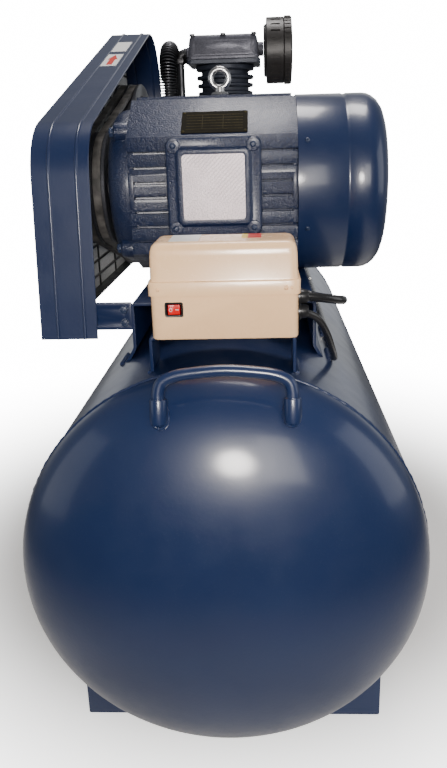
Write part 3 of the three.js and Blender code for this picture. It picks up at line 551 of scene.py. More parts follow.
# %% Lights and floor
def lamp(name, place, target, size, power, colour=(1, 1, 1), shape="RECTANGLE"):
    data = bpy.data.lights.new(name, "AREA")
    data.shape = shape
    data.size = size[0]
    data.size_y = size[1]
    data.energy = power
    data.color = colour
    light = bpy.data.objects.new(name, data)
    light.location = place
    light.rotation_euler = (Vector(target) - Vector(place)).to_track_quat("-Z", "Y").to_euler()
    bpy.context.scene.collection.objects.link(light)
    return light


lamp("overhead", (0.15, 0.45, 2.9), (0, -0.2, 0.9), (1.0, 0.8), 46, (1.0, 0.96, 0.95))
lamp("front", (0.10, -2.1, 1.02), (0, -0.4, 0.45), (0.36, 0.36), 34, (1.0, 0.95, 0.90), "DISK")
lamp("left", (-2.6, -0.9, 1.0), (0, -0.2, 0.5), (1.6, 1.8), 7, (0.95, 0.98, 1.0))
lamp("fan_side", (0.62, -2.0, 1.15), (0.18, -0.2, 0.8), (0.5, 0.8), 7, (1.0, 0.97, 0.94))
lamp("right", (2.5, -0.6, 1.2), (0.1, -0.3, 0.6), (1.6, 1.8), 14, (0.97, 0.98, 1.0))
lamp("behind", (0.7, 2.8, 1.9), (0, 0.3, 0.6), (1.4, 1.0), 3, (1.0, 0.99, 0.97))

floor = turned("floor", "z", (0, 0, 0), [(0, 0), (1, 0), (2, 0), (2.6, 0), (2.6, -0.02), (0, -0.02)], 96)
ground = bpy.data.materials.new("pale_floor")
ground.use_nodes = True
tree = ground.node_tree
paint = tree.nodes["Principled BSDF"]
feed(paint.inputs["Base Color"], (0.80, 0.79, 0.77))
paint.inputs["Roughness"].default_value = 0.55
place = node(tree, "TexCoord", output="Object")
distance = node(tree, "VectorMath", {0: place}, "Value", operation="LENGTH")
fade = node(tree, "MapRange", {0: distance, 1: 0.4, 2: 1.35, 3: 0.0, 4: 1.0},
            interpolation_type="SMOOTHSTEP")
seen = node(tree, "LightPath", output="Is Camera Ray")
glow = node(tree, "Emission", {"Color": PALE, "Strength": 0.10 + (BRIGHT - 0.10) * seen})
blend = node(tree, "MixShader", {0: fade, 1: Wire(paint.outputs[0]), 2: glow})
feed(tree.nodes["Material Output"].inputs[0], blend)
floor.data.materials.append(ground)

# %% [markdown]
# ## Finishes
# Each finish starts from the same few ideas. Sprayed gloss paint is a coat over a colour, with a slight
# orange peel. A sand casting has a coarse grain under its paint. Moulded plastic has a fine grain, rubber
# has dust in it, and bare metal has a brushed roughness and dulls in patches. Each graph varies the
# colour and the roughness a little, since no real surface is even.

# %% A finish to build on
class Finish:
    """A material with its own coordinates and ready-made noises."""

    def __init__(self, name, **uniform):
        self.material = bpy.data.materials.new(name)
        self.material.use_nodes = True
        self.tree = self.material.node_tree
        self.shader = self.tree.nodes["Principled BSDF"]
        self.place = self.node("TexCoord", output="Object")
        for key, value in uniform.items():
            feed(self.shader.inputs[key.replace("_", " ").title().replace("Ior", "IOR")], value)

    def node(self, kind, inputs=None, output=0, **settings):
        return node(self.tree, kind, inputs, output, **settings)

    def grain(self, scale, detail=3.0, stretch=None):
        place = self.place
        if stretch:
            place = self.node("Mapping", {0: place, "Scale": stretch})
        return self.node("TexNoise", {"Vector": place, "Scale": scale, "Detail": detail})

    def between(self, factor, low, high, start=0.0, end=1.0):
        return self.node("MapRange", {0: factor, 1: low, 2: high, 3: start, 4: end})

    def mix(self, factor, first, second):
        return self.node("Mix", {0: factor, 6: first, 7: second}, 2, data_type="RGBA")

    def bump(self, height, distance, strength=1.0, under=None):
        inputs = {"Height": height, "Distance": distance, "Strength": strength}
        if under:
            inputs["Normal"] = under
        return self.node("Bump", inputs)

    def set(self, **varying):
        for key, value in varying.items():
            feed(self.shader.inputs[key.replace("_", " ").title()], value)
        return self.material


print("finishes are built with Finish")

# %% Paint
def gloss_paint(name, deep, lit, roughness=0.36, peel=0.00012):
    """Sprayed enamel: an even colour, a little lighter in broad patches, with fine dust in the gloss."""
    f = Finish(name, coat_weight=0.6, coat_roughness=0.16, ior=1.45)
    patches = f.grain(5, 4)
    dust = f.between(f.grain(650, 2), 0.62, 0.80)
    colour = f.mix(f.between(patches, 0.3, 0.7), deep, lit)
    colour = f.mix(0.03 * dust, colour, (0.42, 0.45, 0.50))
    rough = roughness + 0.10 * f.between(f.grain(22, 5), 0.42, 0.75) + 0.2 * dust
    return f.set(base_color=colour, roughness=rough, normal=f.bump(f.grain(240, 1), peel, 0.6))


def cast_paint(name, deep, lit, coarse=0.0013):
    """Enamel over a sand casting: the grain of the mould shows through the gloss as small glints."""
    f = Finish(name, coat_weight=0.3, coat_roughness=0.24, ior=1.5)
    sand = f.grain(430, 4)
    lumps = f.grain(95, 3)
    colour = f.mix(f.between(sand, 0.35, 0.72), deep, lit)
    rough = 0.30 + 0.2 * f.between(lumps, 0.35, 0.7)
    rolling = f.bump(lumps, 1.6 * coarse, 0.5)
    return f.set(base_color=colour, roughness=rough, normal=f.bump(sand, coarse, 1.0, rolling))


NAVY_DEEP = (0.0042, 0.0132, 0.053)
NAVY_LIT = (0.0054, 0.0165, 0.064)
navy = gloss_paint("navy_paint", NAVY_DEEP, NAVY_LIT)
navy_cast = cast_paint("motor_casting", (0.0045, 0.0105, 0.038), (0.0085, 0.0190, 0.062))
print("paint:", navy.name, navy_cast.name)

# %% Cast metals
def casting(name, dark, light, metallic, coarse, roughness=0.5):
    f = Finish(name, metallic=metallic)
    sand = f.grain(380, 4)
    stains = f.grain(14, 5)
    colour = f.mix(f.between(sand, 0.3, 0.75), dark, light)
    colour = f.mix(f.between(stains, 0.48, 0.72, 0, 0.45), colour, dark)
    rough = roughness + 0.22 * f.between(stains, 0.35, 0.7)
    return f.set(base_color=colour, roughness=rough, normal=f.bump(sand, coarse, 0.8))


pump_iron = casting("pump_iron", (0.014, 0.018, 0.030), (0.034, 0.040, 0.058), 0.3, 0.0006, 0.4)
pump_alloy = casting("pump_alloy", (0.050, 0.051, 0.066), (0.115, 0.117, 0.145), 0.4, 0.0004, 0.40)
pulley_iron = casting("pulley_iron", (0.030, 0.032, 0.040), (0.060, 0.063, 0.074), 0.5, 0.0004, 0.38)
filter_black = casting("filter_housing", (0.012, 0.011, 0.011), (0.030, 0.027, 0.025), 0.0, 0.0002, 0.34)
print("castings:", pump_iron.name, pump_alloy.name, pulley_iron.name)

# %% Bare metals
def metal(name, dark, light, roughness=0.28, stretch=(1, 1, 1), scratches=0.00003):
    f = Finish(name, metallic=1.0)
    brushed = f.grain(300, 3, stretch)
    tarnish = f.between(f.grain(26, 5), 0.42, 0.72)
    colour = f.mix(tarnish, light, dark)
    rough = roughness + 0.16 * brushed + 0.14 * tarnish
    return f.set(base_color=colour, roughness=rough, normal=f.bump(brushed, scratches, 0.6))


bright_steel = metal("bright_steel", (0.42, 0.41, 0.40), (0.63, 0.63, 0.64), 0.16)
zinc = metal("zinc_plate", (0.44, 0.42, 0.36), (0.66, 0.65, 0.62), 0.24)
brass = metal("brass", (0.46, 0.30, 0.11), (0.72, 0.52, 0.22), 0.2)
core_steel = metal("core_steel", (0.10, 0.095, 0.09), (0.2, 0.195, 0.19), 0.4)
turned_steel = metal("turned_steel", (0.35, 0.36, 0.38), (0.56, 0.57, 0.60), 0.2, (0.05, 1, 1))
pipe_metal = metal("pipe_finned", (0.035, 0.036, 0.040), (0.090, 0.092, 0.100), 0.34)
dark_fitting = metal("dark_fitting", (0.03, 0.03, 0.032), (0.085, 0.085, 0.09), 0.3)
painted_steel = cast_paint("painted_steel", (0.008, 0.020, 0.062), (0.020, 0.034, 0.078))
pale_wire = casting("pale_wire", (0.42, 0.43, 0.44), (0.60, 0.61, 0.62), 0.2, 0.0001, 0.5)
print("metals:", bright_steel.name, zinc.name, brass.name)

# %% Plastics and rubber
def plastic(name, colour, shade, roughness=0.3, grain=0.00004, coat=0.0):
    f = Finish(name, coat_weight=coat, coat_roughness=0.12, ior=1.5)
    soil = f.between(f.grain(30, 5), 0.5, 0.78)
    tone = f.mix(0.55 * soil, colour, shade)
    rough = roughness + 0.14 * soil + 0.05 * f.grain(500, 2)
    return f.set(base_color=tone, roughness=rough, normal=f.bump(f.grain(900, 2), grain, 0.6))


beige = plastic("beige_plastic", (0.96, 0.61, 0.33), (0.88, 0.54, 0.28), 0.24, 0.00003, 0.35)
black = plastic("black_plastic", (0.012, 0.012, 0.013), (0.028, 0.027, 0.026), 0.3, 0.00006)
red = plastic("red_plastic", (0.64, 0.003, 0.004), (0.46, 0.003, 0.004), 0.30, 0.00003, 0.1)
lead_rubber = plastic("lead_rubber", (0.010, 0.010, 0.011), (0.035, 0.033, 0.031), 0.24, 0.00005, 0.3)
label_white = plastic("label_white", (0.80, 0.80, 0.78), (0.66, 0.65, 0.60), 0.34)
label_red = plastic("label_red", (0.60, 0.035, 0.022), (0.42, 0.03, 0.02), 0.34)
label_yellow = plastic("label_yellow", (0.80, 0.56, 0.04), (0.6, 0.42, 0.04), 0.34)


def belt_finish():
    """A raw-edge belt: dark rubber with cloth threads across it, paler in patches of dust and painted sheen."""
    f = Finish("belt_rubber")
    threads = f.grain(900, 2, (0.2, 1, 1))
    dust = f.between(f.grain(46, 5), 0.40, 0.70)
    # The pale tone is partly dust and partly a painted sheen, which lightens the rubber in random patches.
    colour = f.mix(dust, (0.045, 0.043, 0.041), (0.17, 0.16, 0.15))
    return f.set(base_color=colour, roughness=0.40 + 0.2 * threads, normal=f.bump(threads, 0.0002, 0.7))


belt_rubber = belt_finish()
print("plastics:", beige.name, black.name, red.name, belt_rubber.name)

# %% Plates with a worn face
def scratched_plate(name, dark, light, metallic, sandy, roughness=0.30, gloss=0.5):
    """A thin metal sheet with a sanded, blotchy face: pale grains, and slanting scratches in patches."""
    f = Finish(name, metallic=metallic, specular_ior_level=gloss)
    grains = f.between(f.grain(520, 4), 0.36, 0.60)
    blotch = f.between(f.grain(18, 5), 0.32, 0.60)
    slant = f.node("Mapping", {0: f.place, "Scale": (-1, 1, 1)})
    lines = f.node("TexWave", {"Vector": slant, "Scale": 105, "Distortion": 2.5, "Detail": 3},
                   bands_direction="DIAGONAL")
    scratch = f.between(lines, 0.72, 0.95) * f.between(f.grain(11, 3), 0.50, 0.58)
    pale = grains * (0.4 + 0.6 * blotch) - 0.7 * scratch
    rough = roughness + 0.2 * grains
    return f.set(base_color=f.mix(pale, dark, light), roughness=rough,
                 normal=f.bump(grains - scratch, sandy, 0.8))


silver_plate = scratched_plate("silver_plate", (0.42, 0.36, 0.39), (0.74, 0.66, 0.69), 0.45, 0.00010)
dark_plate = scratched_plate("dark_plate", (0.007, 0.006, 0.004), (0.016, 0.014, 0.008), 0.0, 0.00003, 0.78,
                             0.12)
bronze_ink = scratched_plate("bronze_ink", (0.03, 0.025, 0.010), (0.07, 0.058, 0.025), 0.0, 0.00003, 0.7,
                             0.15)
print("plates:", silver_plate.name, dark_plate.name)

# %% [markdown]
# ## Tank
# The tank is one rolled sheet with a dished head welded on each end. Measurements on a round tank are taken
# from its axis, so a small function gives a point in millimetres from the middle of the near seam: across,
# along and up. The same function serves the whole machine, since everything is bolted to the tank.

# %% Measuring from the tank's near seam
seam = Vector((middle("tank_head_front").x, low("tank_shell").y, middle("tank_head_front").z))


def at(x, y, z):
    return seam + Vector((x, y, z)) * MM


def spot(axis, a, b):
    """A pair of millimetre coordinates across an axis, as a point in the frame."""
    origin = {"x": (seam.y, seam.z), "y": (seam.x, seam.z), "z": (seam.x, seam.y)}[axis]
    return (origin[0] + a * MM, origin[1] + b * MM)


def along(axis, value):
    return seam["xyz".index(axis)] + value * MM


def plate(name, axis, outline, span_mm, radius=0.0, steps=5):
    """A plate from a millimetre outline, with rounded corners."""
    if radius:
        outline = rounded(outline, radius, steps)
    return cut_from_plate(name, axis, [spot(axis, a, b) for a, b in outline],
                          *(along(axis, w) for w in span_mm))


def lathe(name, axis, centre, profile, sides=96, crease=32):
    return turned(name, axis, at(*centre), [(r * MM, w * MM) for r, w in profile], sides, crease)


def brick(name, x, y, z):
    return block(name, at(x[0], y[0], z[0]), at(x[1], y[1], z[1]))


def line_of(points, per_span=8, closed=False):
    return flowing([at(*p) for p in points], per_span, closed)


TANK_R = 250.0
LENGTH = round(span("tank_shell").y / MM)
print("tank length", LENGTH, "mm, radius", TANK_R, "mm")


def both_ends(pieces, names):
    """Copies pieces from the near end to the far end, mirrored over the tank's middle."""
    middle_y = middle("tank_shell").y
    copies = []
    for piece, name in zip(pieces, names):
        mesh = piece.data.copy()
        mesh.transform(Matrix.Translation((0, 2 * middle_y, 0)) @ Matrix.Scale(-1, 4, (0, 1, 0)))
        mesh.flip_normals()
        copy = bpy.data.objects.new(name, mesh)
        bpy.context.scene.collection.objects.link(copy)
        copies.append(copy)
    return copies


# %% Shell and heads
def head_line(radius, depth, steps=26):
    angles = [math.pi / 2 * (1 - i / steps) for i in range(steps + 1)]
    return [(max(radius * math.cos(a), 0.0), -6 - depth * math.sin(a)) for a in angles]


outer = head_line(TANK_R, 112)
outer[0] = (0.0, outer[0][1])
inner = [(0.0, -6 - 107.0)] + head_line(245, 107)[1:]
head = lathe("head_front", "y", (0, 0, 0), outer + [(TANK_R, -1.2), (248.5, 0), (245, 0)] + inner[::-1],
             160)
head.data.materials.append(navy)
shell_profile = [(248.5, 0.3), (TANK_R, 1.5), (TANK_R, LENGTH - 1.5), (248.5, LENGTH - 0.3),
                 (245, LENGTH - 0.3),
                 (245, 0.3)]
shell = lathe("shell", "y", (0, 0, 0), shell_profile, 192)
bosses = [
    lathe("boss", "z", (0, 1062, 0), [(0, 240), (22, 240), (22, 259), (20, 262), (0, 262)], 48),
    lathe("boss", "z", (-160, 704, 0), [(0, 170), (16, 170), (16, 214), (14, 216), (0, 216)], 48),
    lathe("boss", "z", (0, 575, 0), [(0, -262), (12, -262), (14, -260), (14, -240), (0, -240)], 48),
]
shell = gather("shell", [shell, *bosses])
settle(shell, navy, "tank_shell")

# %% [markdown]
# A welded seam is never a clean line. A thin rippled bead runs round each head, another along the top of
# each foot, and short ones hold the handle sockets.

# %% Seams and handles
def ring(radius, steps):
    angles = [2 * math.pi * i / steps for i in range(steps)]
    return [(radius * math.cos(a), radius * math.sin(a)) for a in angles]


seam_line = [at(x, 0.15, z) for x, z in ring(TANK_R - 0.7, 420)]
front_seam = weld_bead("seam_front", seam_line, 2.4 * MM, closed=True)

LEG_FOOT = Vector((0, -67, 215.5))
LEG_WAY = Vector((0, 0.188, 0.982)).normalized()


def leg_point(across, up):
    point = LEG_FOOT + LEG_WAY * up
    return at(10 + across, point.y, point.z)


sockets = []
for side in (-1, 1):
    rings = [(-7, 8.4), (0, 9.4), (18.4, 9.4), (19.6, 9.0), (20, 8.4), (20, 7.4)]
    sockets.append(swept("socket", [leg_point(side * 72, up) for up, _ in rings],
                         [r * MM for _, r in rings], 40))
    inner = [LEG_FOOT + Vector((10 + side * 72, 9, -8)) + LEG_WAY * up for up in (0, 6, 12, 18)]
    sockets.append(swept("socket_root", [at(*p) for p in inner], 7.6 * MM, 24))
    around = []
    for i in range(56):
        angle = 2 * math.pi * i / 56
        x, z = 10 + side * 72 + 9.0 * math.cos(angle), 213 + 11 * math.sin(angle)
        around.append(at(x, -6 - 112 * math.sqrt(1 - (x * x + z * z) / TANK_R ** 2) - 0.6, z))
    sockets.append(weld_bead("socket_weld", around, 2.4 * MM, closed=True))
head = gather("head_front", [head, front_seam, *sockets])
head.data.materials.append(navy)

grip_path = [(-72, 5), (-72, 16), (-72, 27), (-68, 37.5), (-56, 44), (-36, 47.5), (0, 50), (36, 47.5),
             (56, 44),
             (68, 37.5), (72, 27), (72, 16), (72, 5)]
grip = swept("handle_bar_front", flowing([leg_point(a, u) for a, u in grip_path], 9), 6.6 * MM, 28)
far_head, far_grip = both_ends([head, grip], ["head_rear", "handle_bar_rear"])
settle(head, navy, "tank_head_front")
settle(far_head, navy, "tank_head_rear")
settle(grip, navy, "handle_front")
settle(far_grip, navy, "handle_rear")

# %% [markdown]
# The tank stands on two bent sheet feet. Each is a web that is cut to the tank's curve, with a flat flange
# under it and a turned edge at the sides, and it has four holes for bolting down.

# %% Feet
def tank_bulk(gap=0.3):
    return lathe("bulk", "y", (0, 0, 0),
                 [(0, -40), (TANK_R + gap, -40), (TANK_R + gap, LENGTH + 40), (0, LENGTH + 40)],
                 192)


def foot(name):
    web = [(-209, -292), (209, -292), (209, -141), (-209, -141)]
    body = plate("web", "y", web, (60, 130), 3)
    inside = plate("inside", "y", [(-205, -288), (205, -288), (205, -90), (-205, -90)], (64, 140), 3)
    body = carve(body, inside, tank_bulk())
    for x in (-180, -120, 120, 180):
        carve(body, lathe("hole", "z", (x, 100, 0), [(0, -295), (6.5, -295), (6.5, -280), (0, -280)], 32))
    soften(body, 0.9 * MM, 2, 40)
    reach = math.degrees(math.asin(141 / TANK_R))
    angles = [math.radians(270 + (90 - reach) * i / 130) for i in range(-130, 131)]
    line = [at(250.6 * math.cos(a), 59, 250.6 * math.sin(a)) for a in angles]
    return gather(name, [body, weld_bead("foot_weld", line, 2.3 * MM)])


near_foot = foot("foot_front_bent")
far_foot, = both_ends([near_foot], ["foot_rear_bent"])
settle(near_foot, navy, "foot_front")
settle(far_foot, navy, "foot_rear")

# %% [markdown]
# The platform is a sheet folded down at both sides, with the lower edges flared to meet the tank. Short
# stitch welds hold the flare.

# %% Platform
left, right = -126, 122
section = [(left, 292), (left, 230), (left - 17, 200), (left - 13, 197.5), (left + 4, 229), (left + 4, 288),
           (right - 4, 288), (right - 4, 229), (right + 13, 197.5), (right + 17, 200), (right, 230),
           (right, 292)]
radii = [6, 10, 0, 0, 10, 2, 2, 10, 0, 0, 10, 6]
deck = cut_from_plate("platform_sheet", "y", [spot("y", a, b) for a, b in rounded(section, radii, 6)],
                      along("y", 160), along("y", 985))
deck = carve(deck, tank_bulk())
for x in (-88, 62):
    for y in (297, 533):
        carve(deck, lathe("slot", "z", (x, y, 0), [(0, 280), (6, 280), (6, 296), (0, 296)], 24))
soften(deck, 0.8 * MM, 2, 40)
stitches = []
for side in (-1, 1):
    x = side * (126 + 18.5) if side < 0 else 122 + 18.5
    z = math.sqrt(TANK_R ** 2 - x ** 2)
    for k in range(7):
        y = 166 + k * 127
        stitches.append(weld_bead("stitch", [at(x, y + i * 1.2, z + 0.6) for i in range(42)], 3.0 * MM))
deck = gather("platform_sheet", [deck, *stitches])
settle(deck, navy, "platform")

# %% [markdown]
# ## Starter box
# The starter is a beige moulded box with a deep lid. A mould needs tapered walls and large soft corners,
# and the lid's skirt is wider than the box and laps over it. A loft through rounded rectangles at several
# heights gives all of that in one form.

# %% Lofts
def box_line(x, y, grow, radius, steps=6):
    outline = rectangle((x[0] - grow, x[1] + grow), (y[0] - grow, y[1] + grow))
    return rounded(outline, radius, steps)


def lofted(name, axis, sections, crease=32):
    """A form through millimetre outlines with the same number of points: [(outline, distance along), ...]."""
    count = len(sections[0][0])
    points, faces = [], []
    for outline, w in sections:
        points += [ACROSS[axis](*spot(axis, a, b), along(axis, w)) for a, b in outline]
    for k in range(len(sections) - 1):
        for i in range(count):
            j = (i + 1) % count
            faces.append([k * count + i, k * count + j, (k + 1) * count + j, (k + 1) * count + i])
    faces.append(list(range(count)))
    faces.append(list(range((len(sections) - 1) * count, len(sections) * count))[::-1])
    return solid(name, points, faces, crease)


BOX_X, BOX_Y = (-76, 92), (10, 92)
lid_steps = [(2.6, 12, 332), (2.6, 12, 346.6), (2.0, 11.5, 348), (0.2, 10, 348.6), (-0.2, 10, 350),
             (-0.9, 10, 376),
             (-1.6, 10, 382), (-3.2, 9, 386.6), (-6, 8, 389.6), (-9.5, 7, 390.8), (-14, 6, 391)]
lid = lofted("starter_lid", "z", [(box_line(BOX_X, BOX_Y, grow, r), z) for grow, r, z in lid_steps])
carve(lid, lofted("hollow", "z", [(box_line(BOX_X, BOX_Y, 0.35, 10), 330),
                                  (box_line(BOX_X, BOX_Y, 0.35, 10), 347),
                                  (box_line(BOX_X, BOX_Y, -7, 8), 347.2),
                                  (box_line(BOX_X, BOX_Y, -7, 8), 387)]))
notches = [brick("notch", (x - 5, x + 5), (5.5, 7.9), (331, 335)) for x in (-52, 70)]
carve(lid, *notches)
settle(lid, beige, "starter_cover")

tub_steps = [(-3, 7, 280.3), (-1, 9, 281.2), (0, 10, 283), (0, 10, 346)]
tub = lofted("starter_tub", "z", [(box_line(BOX_X, BOX_Y, grow, r), z) for grow, r, z in tub_steps])
hollow = lofted("hollow", "z", [(box_line(BOX_X, BOX_Y, -3, 7), 283.5),
                                (box_line(BOX_X, BOX_Y, -3, 7), 349)])
window = brick("window", (-49 - 9.7, -49 + 9.7), (8, 15), (316.5 - 7.8, 316.5 + 7.8))
holes = [lathe("hole", "x", (0, 60, z), [(0, 86), (7.2, 86), (7.2, 94), (0, 94)], 24) for z in (300, 318)]
carve(tub, hollow, window, *holes)
settle(tub, beige, "starter_base")

# %% [markdown]
# The switch sits in a rounded frame. The rocker has two lobes, and the lower half of a tilt brings one of
# them forward. Its marks are a bar for on and a ring for off, which are moulded in as raised lines.

# %% Switch
def frame_line(half_x, half_z, radius):
    return rounded(rectangle((-49 - half_x, -49 + half_x), (316.5 - half_z, 316.5 + half_z)), radius, 4)


bezel_steps = [(10.5, 8.5, 9.7, 2.5), (10.5, 8.5, 8.4, 2.5), (9.9, 7.9, 7.7, 2.2), (8.9, 6.7, 7.9, 1.2),
               (8.4, 6.2, 8.6, 1.0), (8.4, 6.2, 22, 1.0), (9.4, 7.4, 22, 1.4), (9.4, 7.4, 9.9, 1.4)]
rings = [([spot("y", a, b) for a, b in frame_line(hx, hz, r)], along("y", y)) for hx, hz, y,
         r in bezel_steps]
count = len(rings[0][0])
points = [ACROSS["y"](u, v, w) for outline, w in rings for u, v in outline]
faces = []
for k in range(len(rings)):
    nxt = (k + 1) % len(rings)
    for i in range(count):
        j = (i + 1) % count
        faces.append([k * count + i, k * count + j, nxt * count + j, nxt * count + i])
bezel = solid("switch_frame", points, faces, 30)
settle(bezel, black, "switch_bezel")

paddle_side = [(-6.9, -2.6), (-4.5, -1.75), (0, -1.1), (4.5, -1.3), (6.9, -1.5), (6.6, 6), (0, 8),
               (-6.6, 6)]
paddle = plate("rocker_paddle", "z", [(-49 + u, 10 + v) for u, v in paddle_side],
               (316.5 - 5.7, 316.5 + 5.7), 0.9, 4)
soften(paddle, 0.5 * MM, 2, 40)
off_ring = [at(-49 - 3.6 + 1.5 * math.cos(a), 10 - 1.95, 316.5 + 2.0 * math.sin(a))
            for a in [2 * math.pi * i / 28 for i in range(28)]]
marks = [swept("off", off_ring, 0.3 * MM, 8, closed=True),
         brick("on", (-49 + 1.8, -49 + 5.2), (10 - 1.65, 10 - 0.9), (316.5 - 0.4, 316.5 + 0.4))]
settle(paddle, red, "rocker")
settle(gather("rocker_marks", marks), label_white, fixed_to="rocker")

# %% [markdown]
# The lid has labels on top: a pale strip and a small patch in yellow and red. They are left blank, as thin
# stickers with rounded corners. Small screws, moulded over in beige, hold the lid's skirt.

# %% Labels, screws and the bracket
def sticker(name, axis, u, v, face, thickness=0.25, radius=1.2):
    return plate(name, axis, rectangle(u, v), (face, face + thickness), radius, 3)


strip = sticker("starter_label", "z", (-54, -20), (26, 80), 391.0, 0.2)
patch = sticker("starter_patch", "z", (28, 35), (44, 80), 391.0, 0.2)
red_patch = sticker("starter_patch_red", "z", (35.4, 51), (44, 80), 391.0, 0.2)
settle(strip, label_white, fixed_to="starter_cover", slot="beige_plastic")
settle(patch, label_yellow, fixed_to="starter_cover", slot="beige_plastic")
settle(red_patch, label_red, fixed_to="starter_cover", slot="beige_plastic")
screws = cross_screw(at(78, 7.3, 340), "y", -1, 2.6 * MM) + cross_screw(at(84.5, 7.3, 340), "y", -1,
                                                                        1.6 * MM)
screws += cross_screw(at(-66, 7.3, 340), "y", -1, 2.2 * MM)
settle(gather("starter_screws", screws), beige, fixed_to="starter_cover", slot="beige_plastic")

bracket_line = [(-83, 200), (-83, 280), (90, 280), (90, 200), (86, 200), (86, 276), (-79, 276), (-79, 200)]
bracket = cut_from_plate("starter_shelf", "y",
                         [spot("y", a, b) for a, b in rounded(bracket_line, [0, 5, 5, 0, 0, 2, 2, 0], 5)],
                         along("y", 28), along("y", 86))
carve(bracket, tank_bulk())
for x in (-40, 56):
    carve(bracket, lathe("hole", "z", (x, 57, 0), [(0, 270), (4, 270), (4, 284), (0, 284)], 24))
soften(bracket, 0.7 * MM, 2, 40)
shelf_welds = []
for x in (-84.5, 91.5):
    z = math.sqrt(TANK_R ** 2 - x ** 2)
    shelf_welds.append(weld_bead("weld", [at(x, 29 + i * 1.4, z + 0.5) for i in range(41)], 2.6 * MM))
settle(gather("starter_shelf", [bracket, *shelf_welds]), navy, "starter_bracket")

contactor = plate("contactor_block", "z", rectangle((2, 58), (20, 80)), (283.8, 338), 3)
for x in (14, 30, 46):
    carve(contactor, brick("slot", (x - 3, x + 3), (19, 26), (300, 340)))
settle(contactor, black, "contactor")
relay = plate("relay_block", "z", rectangle((2, 58), (24, 76)), (338.3, 372), 3)
carve(relay, lathe("dial", "z", (30, 50, 0), [(0, 370), (6, 370), (6, 374), (0, 374)], 24))
settle(relay, black, "overload_relay")

# %% [markdown]
# ## Motor
# The frame is one casting with long cooling ribs, so its cross-section is constant: an outline in the
# upright plane, drawn out along the shaft. The ribs are flat-faced and close together. Rounding every
# edge afterwards gives the soft look of a mould, and the finish adds the sand.

# %% Ribbed frame
MOTOR_Y = (motor_axle.y - seam.y) / MM
AXLE_Z = (motor_axle.z - seam.z) / MM
MOTOR_R = 118


def frame_outline():
    side = []
    z = 74.0
    while z > -78:
        side += [(MOTOR_R, z), (MOTOR_R, z - 17.0), (MOTOR_R - 13, z - 16.6), (MOTOR_R - 13, z - 21.4)]
        z -= 21.0
    side = side[:-2]
    half = [(10, 130), (44, 130), (MOTOR_R, 77)] + side + [(MOTOR_R - 22, -100), (40, -124)]
    return [(MOTOR_Y + u, AXLE_Z + v) for u, v in half] + [(MOTOR_Y - u, AXLE_Z + v) for u, v in half[::-1]]


casting = plate("motor_body", "x", frame_outline(), (-142, 104))
feet = []
for side in (-1, 1):
    y = sorted((MOTOR_Y + side * 60, MOTOR_Y + side * 135))
    pad = plate("pad", "z", rectangle((-108, 82), y), (292.3, 308), 10)
    leg = plate("leg", "x", [(MOTOR_Y + side * 100, 304), (MOTOR_Y + side * 72, 304),
                             (MOTOR_Y + side * 66, 360),
                             (MOTOR_Y + side * 96, 360)], (-100, 74), 2)
    feet += [pad, leg]
ridges = [plate("ridge", "z", rectangle((-136, 98), (MOTOR_Y + u - 3.2, MOTOR_Y + u + 3.2)),
                (AXLE_Z + 118, AXLE_Z + 134.6), 2.5)
          for u in (-31, 0, 31)]
collars = [lathe("collar", "x", (0, MOTOR_Y, AXLE_Z), [(0, w0), (120.5, w0), (120.5, w1), (0, w1)], 96)
           for w0, w1 in ((-142, -135), (97, 104))]
casting = weld(casting, *feet, *ridges, *collars)
bore = lathe("bore", "x", (0, MOTOR_Y, AXLE_Z), [(0, -150), (100, -150), (100, 110), (0, 110)], 96)
holes = [lathe("hole", "z", (-13 + 75 * u, MOTOR_Y + 118 * v, 0), [(0, 285), (6, 285), (6, 315), (0, 315)],
               24)
         for u in (-1, 1) for v in (-1, 1)]
carve(casting, bore, *holes)
soften(casting, 0.9 * MM, 2, 28)
settle(casting, navy_cast, "motor_frame")

# %% [markdown]
# The end shields are turned castings: a smooth bell on the belt side and a flat one under the fan cover.
# Four ears carry the long bolts that clamp both shields to the frame.

# %% End shields
bell_profile = [(20, -179), (50, -179), (54, -177.6), (98, -175.5), (106, -173), (113, -168), (117, -161.5),
                (118.6, -154),
                (119, -142.6), (99, -142.4), (99, -150), (50, -160), (50, -150), (20, -150)]
bell = lathe("bell", "x", (0, MOTOR_Y, AXLE_Z), bell_profile, 128)
ears = []
ear_places = []
for degrees in (45, 135, 225, 315):
    a = math.radians(degrees)
    centre = (0, MOTOR_Y + 120 * math.cos(a), AXLE_Z + 120 * math.sin(a))
    ear_places.append(centre)
    ears.append(lathe("ear", "x", centre, [(0, -164), (11.5, -164), (14, -162), (14, -142.6), (0, -142.6)],
                      40))
bell = weld(bell, *ears)
carve(bell, lathe("inside", "x", (0, MOTOR_Y, AXLE_Z), [(0, -149.5), (99, -149.5), (99, -140), (0, -140)],
                  96),
      lathe("shaft_hole", "x", (0, MOTOR_Y, AXLE_Z), [(0, -185), (20, -185), (20, -140), (0, -140)], 64))
soften(bell, 0.8 * MM, 2, 40)
settle(bell, navy_cast, "end_shield_drive")
bolts = []
for centre in ear_places:
    bolts += hex_screw(at(-164, centre[1], centre[2]), "x", -1, 8 * MM)
settle(gather("bell_bolts", bolts), painted_steel, fixed_to="end_shield_drive", slot="navy_paint")
far_shield = lathe("fan_side_shield", "x", (0, MOTOR_Y, AXLE_Z),
                   [(20, 86.3), (44, 86.3), (44, 104.3), (114, 104.3), (116, 106), (116, 112), (112, 113.4),
                    (60, 118),
                    (44, 120.3), (20, 120.3)], 96)
settle(far_shield, navy_cast, "end_shield_fan")

